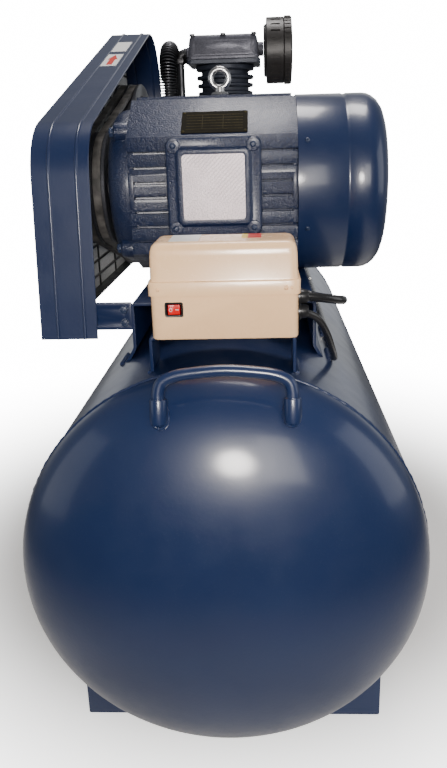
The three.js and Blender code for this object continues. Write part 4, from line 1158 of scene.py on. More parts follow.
settle(dressed_copy("stator_core", 0.5), core_steel, "stator_core")
shaft = lathe("motor_shaft", "x", (0, MOTOR_Y, AXLE_Z),
              [(0, -232), (18, -232), (19, -231), (19, -90), (60, -90), (60, 52), (19, 52), (19, 126),
               (15, 126),
               (15, 177), (14, 178), (0, 178)], 64)
keyway = rectangle((-230, -186), (MOTOR_Y - 5, MOTOR_Y + 5))
carve(shaft, plate("keyway", "z", keyway, (AXLE_Z + 15, AXLE_Z + 21), 4.8))
settle(shaft, turned_steel, "rotor_shaft")

# %% [markdown]
# The fan cover is pressed from thin sheet: a tube, a rounded shoulder and a flat face with long air
# slots. A rolled groove stiffens it near the shoulder.

# %% Fan and cover
cover_outer = [(133.6, 104.4), (133.6, 173), (132.3, 175.2), (132.3, 178.8), (133.6, 181), (133.6, 205),
               (132.6, 212),
               (129.5, 219), (124, 226), (115, 232.4), (105, 235.8), (96, 237), (20, 237)]
cover_inner = [(20, 234.6), (95, 234.6), (104, 233.4), (114, 230), (122, 224), (127.2, 217.6), (130.2, 211),
               (131.2, 205),
               (131.2, 104.4)]
cover = lathe("fan_hood", "x", (0, MOTOR_Y, AXLE_Z), cover_outer + cover_inner, 160)
slots = []
for i in range(7):
    z = AXLE_Z + (i - 3) * 24
    half = math.sqrt(92 ** 2 - (z - AXLE_Z) ** 2)
    for ends in ((MOTOR_Y - half, MOTOR_Y - 7), (MOTOR_Y + 7, MOTOR_Y + half)):
        slots.append(plate("slot", "x", rectangle(ends, (z - 6, z + 6)), (225, 240), 5.9))
for slot in slots:
    carve(cover, slot)
settle(cover, navy, "fan_cover")
screws = []
for degrees in (30, 150, 205, 335):
    a = math.radians(degrees)
    place = at(118, MOTOR_Y + 133.6 * math.cos(a), AXLE_Z + 133.6 * math.sin(a))
    screw = cross_screw(at(118, MOTOR_Y, AXLE_Z + 133.4), "z", 1, 3.6 * MM)[0]
    screws.append(turn(screw, "X", degrees - 90, at(118, MOTOR_Y, AXLE_Z)))
settle(gather("hood_screws", screws), painted_steel, fixed_to="fan_cover", slot="navy_paint")

fan_parts = [lathe("hub", "x", (0, MOTOR_Y, AXLE_Z),
                   [(15.4, 134), (32, 134), (34, 136), (34, 170), (32, 172), (15.4, 172)], 48),
             lathe("disc", "x", (0, MOTOR_Y, AXLE_Z),
                   [(30, 140), (89, 140), (90, 141.5), (89, 143), (30, 143)], 64)]
for i in range(7):
    blade = plate("blade", "z", [(140, MOTOR_Y - 1.5), (174, MOTOR_Y - 1.5), (174, MOTOR_Y + 1.5),
                                 (140, MOTOR_Y + 1.5)],
                  (AXLE_Z + 32, AXLE_Z + 116), 1.3)
    fan_parts.append(turn(blade, "X", i * 360 / 7, at(0, MOTOR_Y, AXLE_Z)))
settle(gather("cooling_fan", fan_parts), black, "motor_fan")

# %% [markdown]
# The terminal box is a cast tub on the motor's side. Its cover has a raised border, four round bosses for
# the screws, and a recessed plate with a worn, sandy face.

# %% Terminal box
TX, TZ = (-78, 52), (370, 502)
tub_steps = [(0, 12, 296.7), (0, 12, 243), (-0.8, 11.5, 240.6), (-2, 11, 240)]
tub = lofted("terminal_tub", "y", [(box_line(TX, TZ, grow, r), y) for grow, r, y in tub_steps])
carve(tub, lofted("hollow", "y", [(box_line(TX, TZ, -8, 8), 239), (box_line(TX, TZ, -8, 8), 290)]),
      lathe("gland_hole", "z", (24, 262, 0), [(0, 362), (7.4, 362), (7.4, 380), (0, 380)], 24),
      lathe("wire_hole", "y", (-13, 0, 436), [(0, 288), (18, 288), (18, 300), (0, 300)], 32))
settle(tub, navy_cast, "terminal_box")
lid_steps = [(-1.5, 13, 239.7), (0, 14, 238.6), (0, 14, 233), (-0.9, 13.4, 231), (-2.6, 12.6, 230),
             (-13, 8, 229.6),
             (-14.5, 7, 228.6), (-15.4, 7, 227.2), (-16.6, 7, 226.4), (-18.6, 7, 226.2)]
lid = lofted("terminal_lid", "y", [(box_line(TX, TZ, grow, r), y) for grow, r, y in lid_steps])
carve(lid, plate("recess", "y", rectangle((TX[0] + 22, TX[1] - 22), (TZ[0] + 22, TZ[1] - 22)), (225, 227.4),
                 5))
bosses = [lathe("boss", "y", (x, 0, z), [(0, 236), (9.5, 236), (9.5, 229.2), (8.6, 227.8), (0, 227.6)], 40)
          for x in (TX[0] + 11, TX[1] - 11) for z in (TZ[0] + 11, TZ[1] - 11)]
lid = weld(lid, *bosses)
soften(lid, 0.5 * MM, 2, 50)
settle(lid, navy_cast, "terminal_box_cover")
screws = []
for x in (TX[0] + 11, TX[1] - 11):
    for z in (TZ[0] + 11, TZ[1] - 11):
        screws += cross_screw(at(x, 227.6, z), "y", -1, 4.2 * MM)
settle(gather("terminal_screws", screws), painted_steel, fixed_to="terminal_box_cover", slot="navy_paint")
face = sticker("terminal_plate", "y", (TX[0] + 22.5, TX[1] - 22.5), (TZ[0] + 22.5, TZ[1] - 22.5), 227.3,
               -0.7, 4.5)
settle(face, silver_plate, fixed_to="terminal_box_cover", slot="bright_steel")

# %% Nameplate and lifting eye
slope = math.degrees(math.atan2(131 - 77, MOTOR_R - 44))
pivot = at(-15, MOTOR_Y - (MOTOR_R + 44) / 2, AXLE_Z + 104)
mid = (-15, MOTOR_Y - (MOTOR_R + 44) / 2 - 16)
base_z = AXLE_Z + 104
tag = plate("rating_tag", "z", rectangle((mid[0] - 48, mid[0] + 48), (mid[1] - 25, mid[1] + 25)),
            (base_z + 0.4, base_z + 1.5), 2)
lines = []
for k in range(6):
    y = mid[1] - 17 + 6.6 * k
    lines.append(brick("line", (mid[0] - 41, mid[0] + 41), (y, y + 0.7), (base_z + 1.4, base_z + 1.75)))
lines += [brick("line", (x, x + 0.7), (mid[1] - 17, mid[1] + 16.6), (base_z + 1.4, base_z + 1.75))
          for x in (mid[0] - 18, mid[0] + 12)]
rivets = [lathe("rivet", "z", (mid[0] + u * 44.5, mid[1] + v * 21.5, 0),
                [(0, base_z + 1), (1.9, base_z + 1), (1.7, base_z + 2.2), (0.9, base_z + 2.7),
                 (0, base_z + 2.8)], 16)
          for u in (-1, 1) for v in (-1, 1)]
trim = gather("rating_lines", lines + rivets)
for piece in (tag, trim):
    turn(piece, "X", slope, pivot)
settle(tag, dark_plate, "nameplate")
settle(trim, bronze_ink, fixed_to="nameplate", slot="dark_plate")

eye_centre = at(-11, MOTOR_Y, AXLE_Z + 160)
hoop = [eye_centre + Vector((13.5 * math.cos(a), 0, 13.5 * math.sin(a))) * MM
        for a in [2 * math.pi * i / 64 for i in range(64)]]
eye = weld(swept("lifting_ring", hoop, 4.5 * MM, 24, closed=True),
           lathe("shank", "z", (-11, MOTOR_Y, 0),
                 [(0, AXLE_Z + 135.3), (13, AXLE_Z + 135.3), (13.5, AXLE_Z + 137), (12, AXLE_Z + 139.5),
                                                   (7.5, AXLE_Z + 141), (6.6, AXLE_Z + 147),
                  (0, AXLE_Z + 148.5)], 40))
settle(eye, bright_steel, "eyebolt")
bolts = []
for u in (-1, 1):
    for v in (-1, 1):
        bolts += hex_screw(at(-13 + 75 * u, MOTOR_Y + 118 * v, 308), "z", 1, 10 * MM)
settle(gather("motor_bolts", bolts), painted_steel, fixed_to="motor_frame", slot="navy_paint")

# %% [markdown]
# ## Belt drive
# Two wedge belts join the motor's pulley to the pump's flywheel. A wedge belt has sloping flanks and
# rides with its back just proud of the rim, so the grooves and the belts have the same slope. The belt is
# a ribbon: a section that is carried round the loop with its outward side always facing away from the
# pulleys.

# %% Ribbons
def ribbon(name, path, section, closed, crease=32):
    """Carries a section round a millimetre path in the upright plane. The section is a closed list of
    (across the machine, outward from the path)."""
    count, size = len(path), len(section)
    points, faces = [], []
    for i, (y, z) in enumerate(path):
        ahead = Vector(path[(i + 1) % count] if closed or i + 1 < count else path[i])
        behind = Vector(path[i - 1] if closed or i else path[i])
        here = Vector((y, z))
        before, after = here - behind, ahead - here
        before = before.normalized() if before.length else after.normalized()
        after = after.normalized() if after.length else before
        bisector = (before + after).normalized()
        outward = Vector((bisector.y, -bisector.x)) / max(bisector.dot(after), 0.5)
        points += [tuple(at(x, y + outward.x * out, z + outward.y * out)) for x, out in section]
    for i in range(count if closed else count - 1):
        j = (i + 1) % count
        for k in range(size):
            n = (k + 1) % size
            faces.append([i * size + k, i * size + n, j * size + n, j * size + k])
    if not closed:
        faces.append(list(range(size)))
        faces.append(list(range((count - 1) * size, count * size))[::-1])
    return solid(name, points, faces, crease)


PUMP_Y = (crank_axle.y - seam.y) / MM
BELT_X = (motor_axle.x - seam.x) / MM
PULLEY_R, FLYWHEEL_R = 87, 177


def belt_path(small, big):
    lean = math.degrees(math.asin((big - small) / (PUMP_Y - MOTOR_Y)))
    return (arc(PUMP_Y, AXLE_Z, big, -90 - lean, 90 + lean, 88)
            + arc(MOTOR_Y, AXLE_Z, small, 90 + lean, 270 - lean, 56))


belt_section = [(-6.1, 0), (-4.2, -8.6), (4.2, -8.6), (6.1, 0)]
for k, name in enumerate(("belt_1", "belt_2")):
    x = BELT_X + (k - 0.5) * 19
    loop = belt_path(PULLEY_R - 1, FLYWHEEL_R - 1)
    belt = ribbon(f"wedge_belt_{k + 1}", loop, [(x + a, b) for a, b in belt_section], True)
    settle(belt, belt_rubber, name)

# %% Pulleys
LEFT_FACE, RIGHT_FACE = BELT_X - 22, BELT_X + 22


def groove_line(radius):
    line = [(radius - 1, LEFT_FACE), (radius, LEFT_FACE + 1)]
    for x in (BELT_X - 9.5, BELT_X + 9.5):
        line += [(radius, x - 7.2), (radius - 1, x - 6.9), (radius - 11, x - 4.6), (radius - 11, x + 4.6),
                 (radius - 1, x + 6.9), (radius, x + 7.2)]
    return line + [(radius, RIGHT_FACE - 1), (radius - 1, RIGHT_FACE)]


pulley = lathe("small_pulley", "x", (0, MOTOR_Y, AXLE_Z),
               [(19.4, LEFT_FACE)] + groove_line(PULLEY_R)
               + [(64, RIGHT_FACE), (61, RIGHT_FACE - 13), (36, RIGHT_FACE - 13),
                                                              (34, RIGHT_FACE), (19.4, RIGHT_FACE)], 128)
settle(pulley, pulley_iron, "motor_pulley")
wheel_line = [(15.4, LEFT_FACE), (32, LEFT_FACE), (34, LEFT_FACE + 2), (38, BELT_X - 10), (44, BELT_X - 8),
              (146, BELT_X - 8),
              (152, BELT_X - 11), (155, LEFT_FACE)] + groove_line(FLYWHEEL_R)
wheel_line += [(155, RIGHT_FACE), (152, BELT_X + 11), (146, BELT_X + 8), (44, BELT_X + 8),
               (38, BELT_X + 10),
               (34, RIGHT_FACE - 2), (32, RIGHT_FACE), (15.4, RIGHT_FACE)]
wheel = lathe("big_wheel", "x", (0, PUMP_Y, AXLE_Z), wheel_line, 160)
for i in range(5):
    a = 2 * math.pi * (i + 0.5) / 5
    carve(wheel, lathe("window", "x", (0, PUMP_Y + 94 * math.cos(a), AXLE_Z + 94 * math.sin(a)),
                       [(0, BELT_X - 12), (40, BELT_X - 12), (40, BELT_X + 12), (0, BELT_X + 12)], 48))
soften(wheel, 1.2 * MM, 2, 50)
settle(wheel, pulley_iron, "flywheel")
nuts = hex_screw(at(LEFT_FACE, PUMP_Y, AXLE_Z), "x", -1, 9 * MM)
settle(gather("wheel_nut", nuts), zinc, fixed_to="flywheel", slot="zinc_plate")

# %% [markdown]
# ## Belt guard
# The guard is a bent strip of sheet with two ribs pressed along it, which stiffen it, and a mesh face on
# the outside. Its outline has a tight curve over the motor's pulley and a wide one over the flywheel. The
# ribs are part of the strip's section, so they follow every curve.

# %% Guard band
GUARD_LEFT, GUARD_RIGHT, GUARD_BOTTOM = -252, -174, 243


def guard_path(inset):
    near = arc(270.7, 446, 85 - inset, 173, 106.6, 22)
    far = arc(862, 583, 123 - inset, 106.6, 0, 30)
    foot_y = 160.1 + inset / math.cos(math.radians(7))
    rise = [(foot_y + (near[0][0] - foot_y) * i / 8, GUARD_BOTTOM + (near[0][1] - GUARD_BOTTOM) * i / 8)
            for i in range(8)]
    fall = [(985 - inset, 583 - (583 - GUARD_BOTTOM) * i / 8) for i in range(1, 9)]
    return rise + near + far + fall


def rib(x, reach=1.9, half=2.4):
    return [(x - half, 0), (x - half * 0.62, reach * 0.62), (x - half * 0.25, reach),
            (x + half * 0.25, reach),
            (x + half * 0.62, reach * 0.62), (x + half, 0)]


over = [(GUARD_LEFT, -1.0), (GUARD_LEFT + 1.0, 0)] + rib(-228) + rib(-191) + [(GUARD_RIGHT - 1, 0),
                                                                              (GUARD_RIGHT, -1)]
under = [(GUARD_RIGHT, -2), (GUARD_RIGHT - 1, -3)] + [(x, out - 3) for x,
                                                      out in (rib(-228) + rib(-191))[::-1]]
under += [(GUARD_LEFT + 1, -3), (GUARD_LEFT, -2)]
band_path = guard_path(0)[::-1]
band = ribbon("guard_strip", band_path, over + under, False, 40)
settle(band, navy, "guard_band")

# %% [markdown]
# The mesh face is a black frame of flat bar with rods both ways, and a fine pale mesh against them. The
# fine wires are plain square bars, because there are so many of them and each is only a millimetre thick.

# %% Guard face
def guard_top(y, inset):
    """The highest point of the guard's outline over a place along the machine."""
    path = guard_path(inset)
    for (y0, z0), (y1, z1) in zip(path, path[1:]):
        if y0 <= y <= y1 and y1 > y0:
            return z0 + (z1 - z0) * (y - y0) / (y1 - y0)
    return GUARD_BOTTOM


def guard_ends(z, inset):
    inside = [y * 1.0 for y in range(160 + inset, 985 - inset) if guard_top(y, inset) > z]
    return (inside[0], inside[-1])


face_outline = guard_path(3.3)
inner_outline = guard_path(17)
inner_outline[0] = (inner_outline[0][0], GUARD_BOTTOM + 14)
inner_outline[-1] = (inner_outline[-1][0], GUARD_BOTTOM + 14)
rim = plate("guard_face", "x", face_outline, (-251.8, -250.2))
carve(rim, plate("opening", "x", inner_outline, (-255, -247)))
lip = plate("lip", "z", rectangle((-251, -232), (166, 980)), (GUARD_BOTTOM, GUARD_BOTTOM + 3), 1)
wires = []
WIRE_PITCH, WIRE_HALF = 5.5, 0.6
y = 178.0
while y < 976:
    wires.append(brick("rod", (-249.6, -248.6), (y - WIRE_HALF, y + WIRE_HALF),
                       (GUARD_BOTTOM + 4, guard_top(y, 5))))
    y += WIRE_PITCH
z = GUARD_BOTTOM + 8.0
while z < 690:
    y0, y1 = guard_ends(z, 5)
    wires.append(brick("rod", (-250.3, -249.5), (y0, y1), (z - WIRE_HALF, z + WIRE_HALF)))
    z += WIRE_PITCH
mesh = gather("guard_mesh", wires)
bars = []
for y in range(235, 940, 150):
    bars.append(brick("bar", (-250, -246.6), (y - 2, y + 2), (GUARD_BOTTOM + 2, guard_top(y, 6))))
for z in range(268, 690, 26):
    y0, y1 = guard_ends(z, 6)
    bars.append(brick("bar", (-248.6, -245.6), (y0, y1), (z - 1.7, z + 1.7)))
rim = gather("guard_face", [rim, lip, *bars])
settle(rim, black, "guard_grille")
settle(mesh, pale_wire, fixed_to="guard_grille", slot="zinc_plate")

# %% Guard brackets and labels
for name, y in (("guard_bracket_front", (169.6, 173.6)), ("guard_bracket_rear", (977.7, 981.7))):
    strap = plate(name + "_strap", "y", rectangle((-206, -126.3), (253, 291)), y, 3)
    for x in (-196, -137):
        for z in (263, 281):
            carve(strap, lathe("hole", "y", (x, 0, z),
                               [(0, y[0] - 2), (3.4, y[0] - 2), (3.4, y[1] + 2), (0, y[1] + 2)], 24))
    soften(strap, 0.6 * MM, 2, 40)
    settle(strap, navy, name)
    front_face = y[0] if name.endswith("front") else y[1]
    way = -1 if name.endswith("front") else 1
    screws = hex_screw(at(-137, front_face, 263), "y", way,
                       5 * MM) + hex_screw(at(-137, front_face, 281), "y", way, 5 * MM)
    screws += hex_screw(at(-196, front_face, 272), "y", way, 4.4 * MM) if name.endswith("rear") else []
    settle(gather(name + "_screws", screws), painted_steel, fixed_to=name, slot="navy_paint")


def guard_sticker(name, y_range, x_range):
    path = [(y, guard_top(y, 0)) for y in (y_range[0] + (y_range[1] - y_range[0]) * i / 6
                                           for i in range(7))]
    section = [(x_range[0], 0.15), (x_range[1], 0.15), (x_range[1], 0.45), (x_range[0], 0.45)]
    return ribbon(name, path[::-1], section, False)


white_label = guard_sticker("guard_label", (676, 758), (-225, -197))
arrow_label = guard_sticker("guard_arrow_label", (563, 652), (-225, -197))
settle(white_label, label_white, fixed_to="guard_band", slot="navy_paint")
settle(arrow_label, label_white, fixed_to="guard_band", slot="navy_paint")


def on_slope(name, corners, lift, depth):
    """A small flat shape on the guard's sloping top, from (along, across) corners."""
    points = []
    for rise in (lift, lift + depth):
        for y, x in corners:
            points.append(tuple(at(x, y, guard_top(y, 0) + rise)))
    n = len(corners)
    faces = [list(range(n)), list(range(n, 2 * n))[::-1]] + [[i, (i + 1) % n, n + (i + 1) % n, n + i]
                                                             for i in range(n)]
    return solid(name, points, faces)


arrow = on_slope("guard_arrow", [(570, -216), (610, -216), (610, -220), (646, -211), (610, -202),
                                 (610, -206), (570, -206)],
                 0.35, 0.35)
settle(arrow, label_red, fixed_to="guard_band", slot="navy_paint")

# %% [markdown]
# ## Pump
# The pump is a single upright cylinder on an iron crankcase. The crankcase is several simple forms grown
# together, as a pattern maker builds it: a barrel round the crank, a sump, a square neck and a flat base.
# They are joined first and rounded afterwards, so that the fillets run across the joins.

# %% Crankcase
base = plate("crank_base", "z", rectangle((-96, 56), (PUMP_Y - 92, PUMP_Y + 92)), (292.3, 306), 14)
sump = plate("sump", "y", [(-88, 300), (50, 300), (50, AXLE_Z), (-88, AXLE_Z)], (PUMP_Y - 72, PUMP_Y + 72),
             3)
barrel = lathe("barrel", "x", (0, PUMP_Y, AXLE_Z), [(0, -88), (73, -88), (76, -85), (76, 50), (0, 50)], 96)
neck = plate("neck", "z", rectangle((-76, 40), (PUMP_Y - 58, PUMP_Y + 58)), (AXLE_Z + 20, 505), 16)
nose = lathe("nose", "x", (0, PUMP_Y, AXLE_Z), [(0, -101.5), (31, -101.5), (34, -98), (38, -86), (0, -86)],
             64)
fill_cap = lathe("fill_cap", "y", (-20, 0, 380),
                 [(0, PUMP_Y - 86), (11, PUMP_Y - 86), (13, PUMP_Y - 84), (13, PUMP_Y - 76),
                                                  (17, PUMP_Y - 76), (17, PUMP_Y - 66), (0, PUMP_Y - 66)],
                 40)
sight_ring = lathe("sight", "y", (-20, 0, 336),
                   [(0, PUMP_Y - 73), (10, PUMP_Y - 73), (10, PUMP_Y - 76), (14, PUMP_Y - 76),
                                                 (15, PUMP_Y - 74), (15, PUMP_Y - 66), (0, PUMP_Y - 66)],
                   40)
body = weld(base, sump, barrel, neck, nose, fill_cap, sight_ring)
cutters = [
    lathe("cavity", "x", (0, PUMP_Y, AXLE_Z), [(0, -72), (62, -72), (62, 52), (0, 52)], 64),
    lathe("shaft_hole", "x", (0, PUMP_Y, AXLE_Z), [(0, -110), (16, -110), (16, -60), (0, -60)], 48),
    lathe("throat", "z", (-18, PUMP_Y, 0), [(0, AXLE_Z + 10), (44, AXLE_Z + 10), (44, 510), (0, 510)], 64),
]
cutters += [lathe("hole", "z", (-18 + 62 * u, PUMP_Y + 82 * v, 0), [(0, 285), (6, 285), (6, 312), (0, 312)],
                  24)
            for u in (-1, 1) for v in (-1, 1)]
carve(body, *cutters)
soften(body, 1.4 * MM, 2, 36)
settle(body, pump_iron, "crankcase")
bolts = []
for u in (-1, 1):
    for v in (-1, 1):
        bolts += hex_screw(at(-18 + 62 * u, PUMP_Y + 82 * v, 306), "z", 1, 9 * MM)
settle(gather("pump_bolts", bolts), zinc, fixed_to="crankcase", slot="zinc_plate")

# %% Crank cover and shaft
cover = lathe("crank_cover", "x", (0, PUMP_Y, AXLE_Z),
              [(0, 60), (22, 60), (22, 41), (34, 41), (34, 50.3), (75, 50.3), (76, 51.3), (76, 56),
               (74.5, 57.4), (48, 59.4),
               (42, 65), (39, 66.3), (0, 66.3)], 96)
settle(cover, pump_iron, "crankcase_cover")
bolts = []
for k in range(8):
    a = 2 * math.pi * (k + 0.5) / 8
    bolts += hex_screw(at(57.5, PUMP_Y + 65 * math.cos(a), AXLE_Z + 65 * math.sin(a)), "x", 1, 6 * MM)
settle(gather("crank_cover_bolts", bolts), zinc, fixed_to="crankcase_cover", slot="zinc_plate")
for inner_part, finish in (("crankshaft", turned_steel), ("piston", bright_steel), ("con_rod", core_steel)):
    settle(dressed_copy(inner_part, 0.4), finish, inner_part)

# %% [markdown]
# Cooling fins are cast round the cylinder, with broad rounded edges. They reach out a little further
# towards the head, where it is hottest.

# %% Finned cylinder
fins = [(40, 505.3), (52, 505.3), (54, 507), (54, 511), (52, 513), (46.5, 514)]
for i in range(7):
    z = 518.5 + i * 14.6
    reach = 50 + i * 1.0
    fins += [(46.5, z), (reach - 1.6, z + 1.0), (reach, z + 3.0), (reach, z + 5.6), (reach - 1.6, z + 7.6),
             (46.5, z + 8.6)]
fins += [(46.5, 622), (55.5, 623), (57, 625), (57, 631), (56, 632), (40, 632)]
fins = [(r, z) for r, z in fins if z <= 632]
barrel = lathe("fin_barrel", "z", (-18, PUMP_Y, 0), fins, 112)
settle(barrel, pump_iron, "cylinder")
base_nuts = []
for u in (-1, 1):
    for v in (-1, 1):
        base_nuts += hex_screw(at(-18 + 49 * u, PUMP_Y + 49 * v, 505), "z", 1, 7 * MM)
settle(gather("cylinder_nuts", base_nuts), zinc, fixed_to="crankcase", slot="zinc_plate")

# %% Valve plate and head
head_x, head_y = (-86, 50), (PUMP_Y - 60, PUMP_Y + 60)
flange = lofted("valve_deck", "z",
                [(box_line((-88, 52), (PUMP_Y - 62, PUMP_Y + 62), g, r), z) for g, r, z in
                                    ((-1, 9, 632.3), (0, 10, 633.2), (0, 10, 639.4), (-1, 9, 640.3))])
settle(flange, pump_iron, "valve_plate")
head_steps = [(-0.6, 10, 640.6), (0, 10.5, 641.4), (0, 10.5, 646), (-1.6, 10, 647), (-2.2, 10, 668),
              (-3.4, 9.5, 676), (-5.4, 9, 680.6),
              (-8, 8, 683.2), (-12, 7, 684)]
top = lofted("head_casting", "z", [(box_line(head_x, head_y, g, r), z) for g, r, z in head_steps])
panel = plate("panel", "y", rectangle((-70, 34), (650, 674)), (PUMP_Y - 60.6, PUMP_Y - 50), 4)
lens = [(-18 + 34 * math.cos(a), 662 + 9 * math.sin(a)) for a in [2 * math.pi * i / 48 for i in range(48)]]
bulge = cut_from_plate("bulge", "y", [spot("y", a, b) for a, b in lens], along("y", PUMP_Y - 62.4),
                       along("y", PUMP_Y - 50))
inlet = lathe("inlet", "x", (0, PUMP_Y, 661),
              [(0, 40), (13, 40), (13, 57), (12, 58), (8, 58), (8, 52), (0, 52)], 40)
outlet = lathe("outlet", "x", (0, PUMP_Y, 655),
               [(0, -80), (13, -80), (13, -91), (12, -92), (8, -92), (8, -88), (0, -88)], 40)
vanes = [plate("vane", "x", rectangle((PUMP_Y - 50, PUMP_Y + 50), (678, 684)), (x - 1.6, x + 1.6), 1.4)
         for x in range(-66, 40, 16)]
top = weld(top, panel, bulge, inlet, outlet, *vanes)
soften(top, 0.9 * MM, 2, 34)
settle(top, pump_alloy, "cylinder_head")
bolts = []
for x in (-76, -18, 40):
    for y in (PUMP_Y - 52, PUMP_Y + 52):
        bolts += hex_screw(at(x, y, 681.6), "z", 1, 5 * MM)
settle(gather("head_bolts", bolts), dark_fitting, fixed_to="cylinder_head", slot="zinc_plate")

# %% [markdown]
# The intake filter is a drum that stands on the head's inlet. Its cover has a ribbed edge for gripping, and
# the body has a row of shallow recesses round it, which don't go through the wall.

# %% Filter
drum = lathe("filter_drum", "x", (0, PUMP_Y, 657),
             [(9, 58.3), (44, 58.3), (47, 60), (48, 63), (58, 63.3), (60, 64.5), (60, 96), (59, 97),
              (56, 97), (56, 68), (9, 67.5)], 96)
for i in range(24):
    a = 2 * math.pi * i / 24
    slot = plate("slot", "z", rectangle((72, 90), (PUMP_Y - 2.4, PUMP_Y + 2.4)), (657 + 58.6, 657 + 64),
                 2.3, 3)
    carve(drum, turn(slot, "X", i * 15, at(0, PUMP_Y, 657)))
settle(drum, filter_black, "filter_body")
lid = lathe("filter_lid", "x", (0, PUMP_Y, 657),
            [(0, 100.3), (53.5, 100.3), (54, 97.3), (60, 97.3), (61, 98.2), (61, 110), (59.6, 112),
             (44, 113.4), (38, 112.2),
             (14, 112.2), (10, 114), (0, 114)], 96)
grips = []
for i in range(40):
    bar = plate("grip", "z", rectangle((98.6, 109.6), (PUMP_Y - 1.5, PUMP_Y + 1.5)), (657 + 60, 657 + 62),
                1.0, 2)
    grips.append(turn(bar, "X", i * 9, at(0, PUMP_Y, 657)))
settle(gather("filter_lid", [lid, *grips]), filter_black, "filter_cover")

# %% [markdown]
# Hot air leaves by a pipe that loops before it drops to the tank. The middle of the loop carries thin
# spiral fins. A sweep makes both: where there are fins, the radius jumps out for a moment and back.

# %% Delivery pipe
ELBOW_X, COOLER_X = -105, -124
PIPE_ROUTE = [
    (ELBOW_X, 765, 648), (ELBOW_X, 766, 600), (ELBOW_X - 1, 770, 540), (-108, 778, 506), (-115, 790, 494),
    (-122, 802, 506), (COOLER_X, 806, 540), (COOLER_X, 806, 600), (COOLER_X, 796, 640),
              (COOLER_X, 772, 661),
    (COOLER_X, 740, 661), (COOLER_X, 714, 642), (COOLER_X, 704, 606), (COOLER_X, 704, 540),
              (-126, 704, 460),
    (-136, 704, 390), (-152, 704, 340), (-160, 704, 300), (-160, 704, 268),
]


def evenly(line, step):
    """The same line with points at an even distance."""
    result, carry = [line[0].copy()], 0.0
    for a, b in zip(line, line[1:]):
        length = (b - a).length
        d = step - carry
        while d < length:
            result.append(a.lerp(b, d / length))
            d += step
        carry = length - (d - step)
    return result + [line[-1].copy()]


plain = evenly(line_of(PIPE_ROUTE, 10), 4 * MM)
tube = swept("delivery_tube", plain, 7 * MM, 20)
fin_line, fin_radii = [], []
for i, point in enumerate(evenly(line_of(PIPE_ROUTE[6:15], 12), 1.25 * MM)):
    fin_line.append(point)
    fin_radii.append((16.6 if i % 4 == 1 else 16.2 if i % 4 == 2 else 8.2) * MM)
fins = swept("fins", fin_line, fin_radii, 36, crease=30)


def hex_nut(axis, centre, start, end, size):
    others = {"x": (centre[1], centre[2]), "y": (centre[0], centre[2]), "z": (centre[0], centre[1])}[axis]
    nut = plate("nut", axis, circle(others[0], others[1], size, 6), (start, end))
    return soften(nut, 0.8 * MM, 2, 50)


elbow = swept("elbow", evenly(line_of([(-93, PUMP_Y, 655), (-99, PUMP_Y, 655), (-104, PUMP_Y, 652),
                                       (-105, PUMP_Y, 646),
                                       (-105, PUMP_Y, 640)], 8), 1.5 * MM), 10 * MM, 28)
fittings = [elbow, hex_nut("x", (0, PUMP_Y, 655), -92.4, -97.5, 13),
            hex_nut("z", (ELBOW_X, PUMP_Y, 0), 638, 648, 13),
            hex_nut("z", (-160, 704, 0), 268, 281, 13)]
tube = gather("delivery_tube", [tube, fins], 30)
settle(tube, pipe_metal, "discharge_pipe")
settle(gather("pipe_fittings", fittings), dark_fitting, fixed_to="discharge_pipe", slot="brass")
check = lathe("check_body", "z", (-160, 704, 0),
              [(0, 216.4), (12, 216.4), (12.6, 218), (12.6, 232), (14, 234), (14, 256), (12, 258),
                                                  (11.5, 267.6), (0, 267.6)], 48)
check = gather("check_body", [check, hex_nut("z", (-160, 704, 0), 236, 252, 17)])
settle(check, brass, "check_valve")

# %% [markdown]
# ## Air fittings
# At the far end of the tank a brass manifold carries everything that reads or lets out the air: a pressure
# switch with a pull knob, a gauge, a safety valve with its ring, and the outlet cock with a lever.

# %% Manifold and pressure switch
VALVES_Y = 1062
post = lathe("manifold_post", "z", (0, VALVES_Y, 0),
             [(0, 262.3), (14, 262.3), (15, 264), (15, 343), (14, 345), (0, 345)], 48)
cross = lathe("cross", "x", (0, VALVES_Y, 308),
              [(0, -30), (11, -30), (12, -28.6), (12, 28.6), (11, 30), (0, 30)], 48)
back = lathe("back", "y", (0, 0, 282),
             [(0, VALVES_Y), (12, VALVES_Y), (12, VALVES_Y + 28.6), (11, VALVES_Y + 30),
                                        (0, VALVES_Y + 30)], 48)
post = weld(post, cross, back)
soften(post, 0.6 * MM, 2, 40)
collar = hex_nut("z", (0, VALVES_Y, 0), 264, 272, 20)
settle(gather("manifold_post", [post, collar]), brass, "valve_manifold")
switch_steps = [(-2, 6, 345.3), (0, 8, 347), (0, 8, 352), (-1.5, 7.5, 353), (-1.5, 7.5, 404), (-3, 7, 409),
                (-6, 6, 411.4), (-9, 5, 412)]
housing = lofted("switch_housing", "z",
                 [(box_line((-33, 33), (VALVES_Y - 40, VALVES_Y + 40), g, r), z) for g, r,
                  z in switch_steps])
gland_line = [(0, VALVES_Y - 54), (6.2, VALVES_Y - 54), (7.4, VALVES_Y - 52), (8, VALVES_Y - 46),
              (8, VALVES_Y - 38),
              (0, VALVES_Y - 38)]
gland = lathe("gland", "y", (18, 0, 372), gland_line, 32)
ribs = [lathe("rib", "y", (18, 0, 372), [(0, w), (9, w), (9, w + 1.6), (0, w + 1.6)], 6)
        for w in (VALVES_Y - 47, VALVES_Y - 44)]
settle(gather("switch_housing", [housing, gland, *ribs]), black, "pressure_switch")
knob = lathe("pull_knob", "z", (0, VALVES_Y - 12, 0),
             [(0, 412.6), (8, 412.6), (8, 418), (11.4, 420), (12, 422), (12, 427.6), (10, 429.6),
                                                       (0, 430)], 40)
settle(knob, red, "switch_knob")

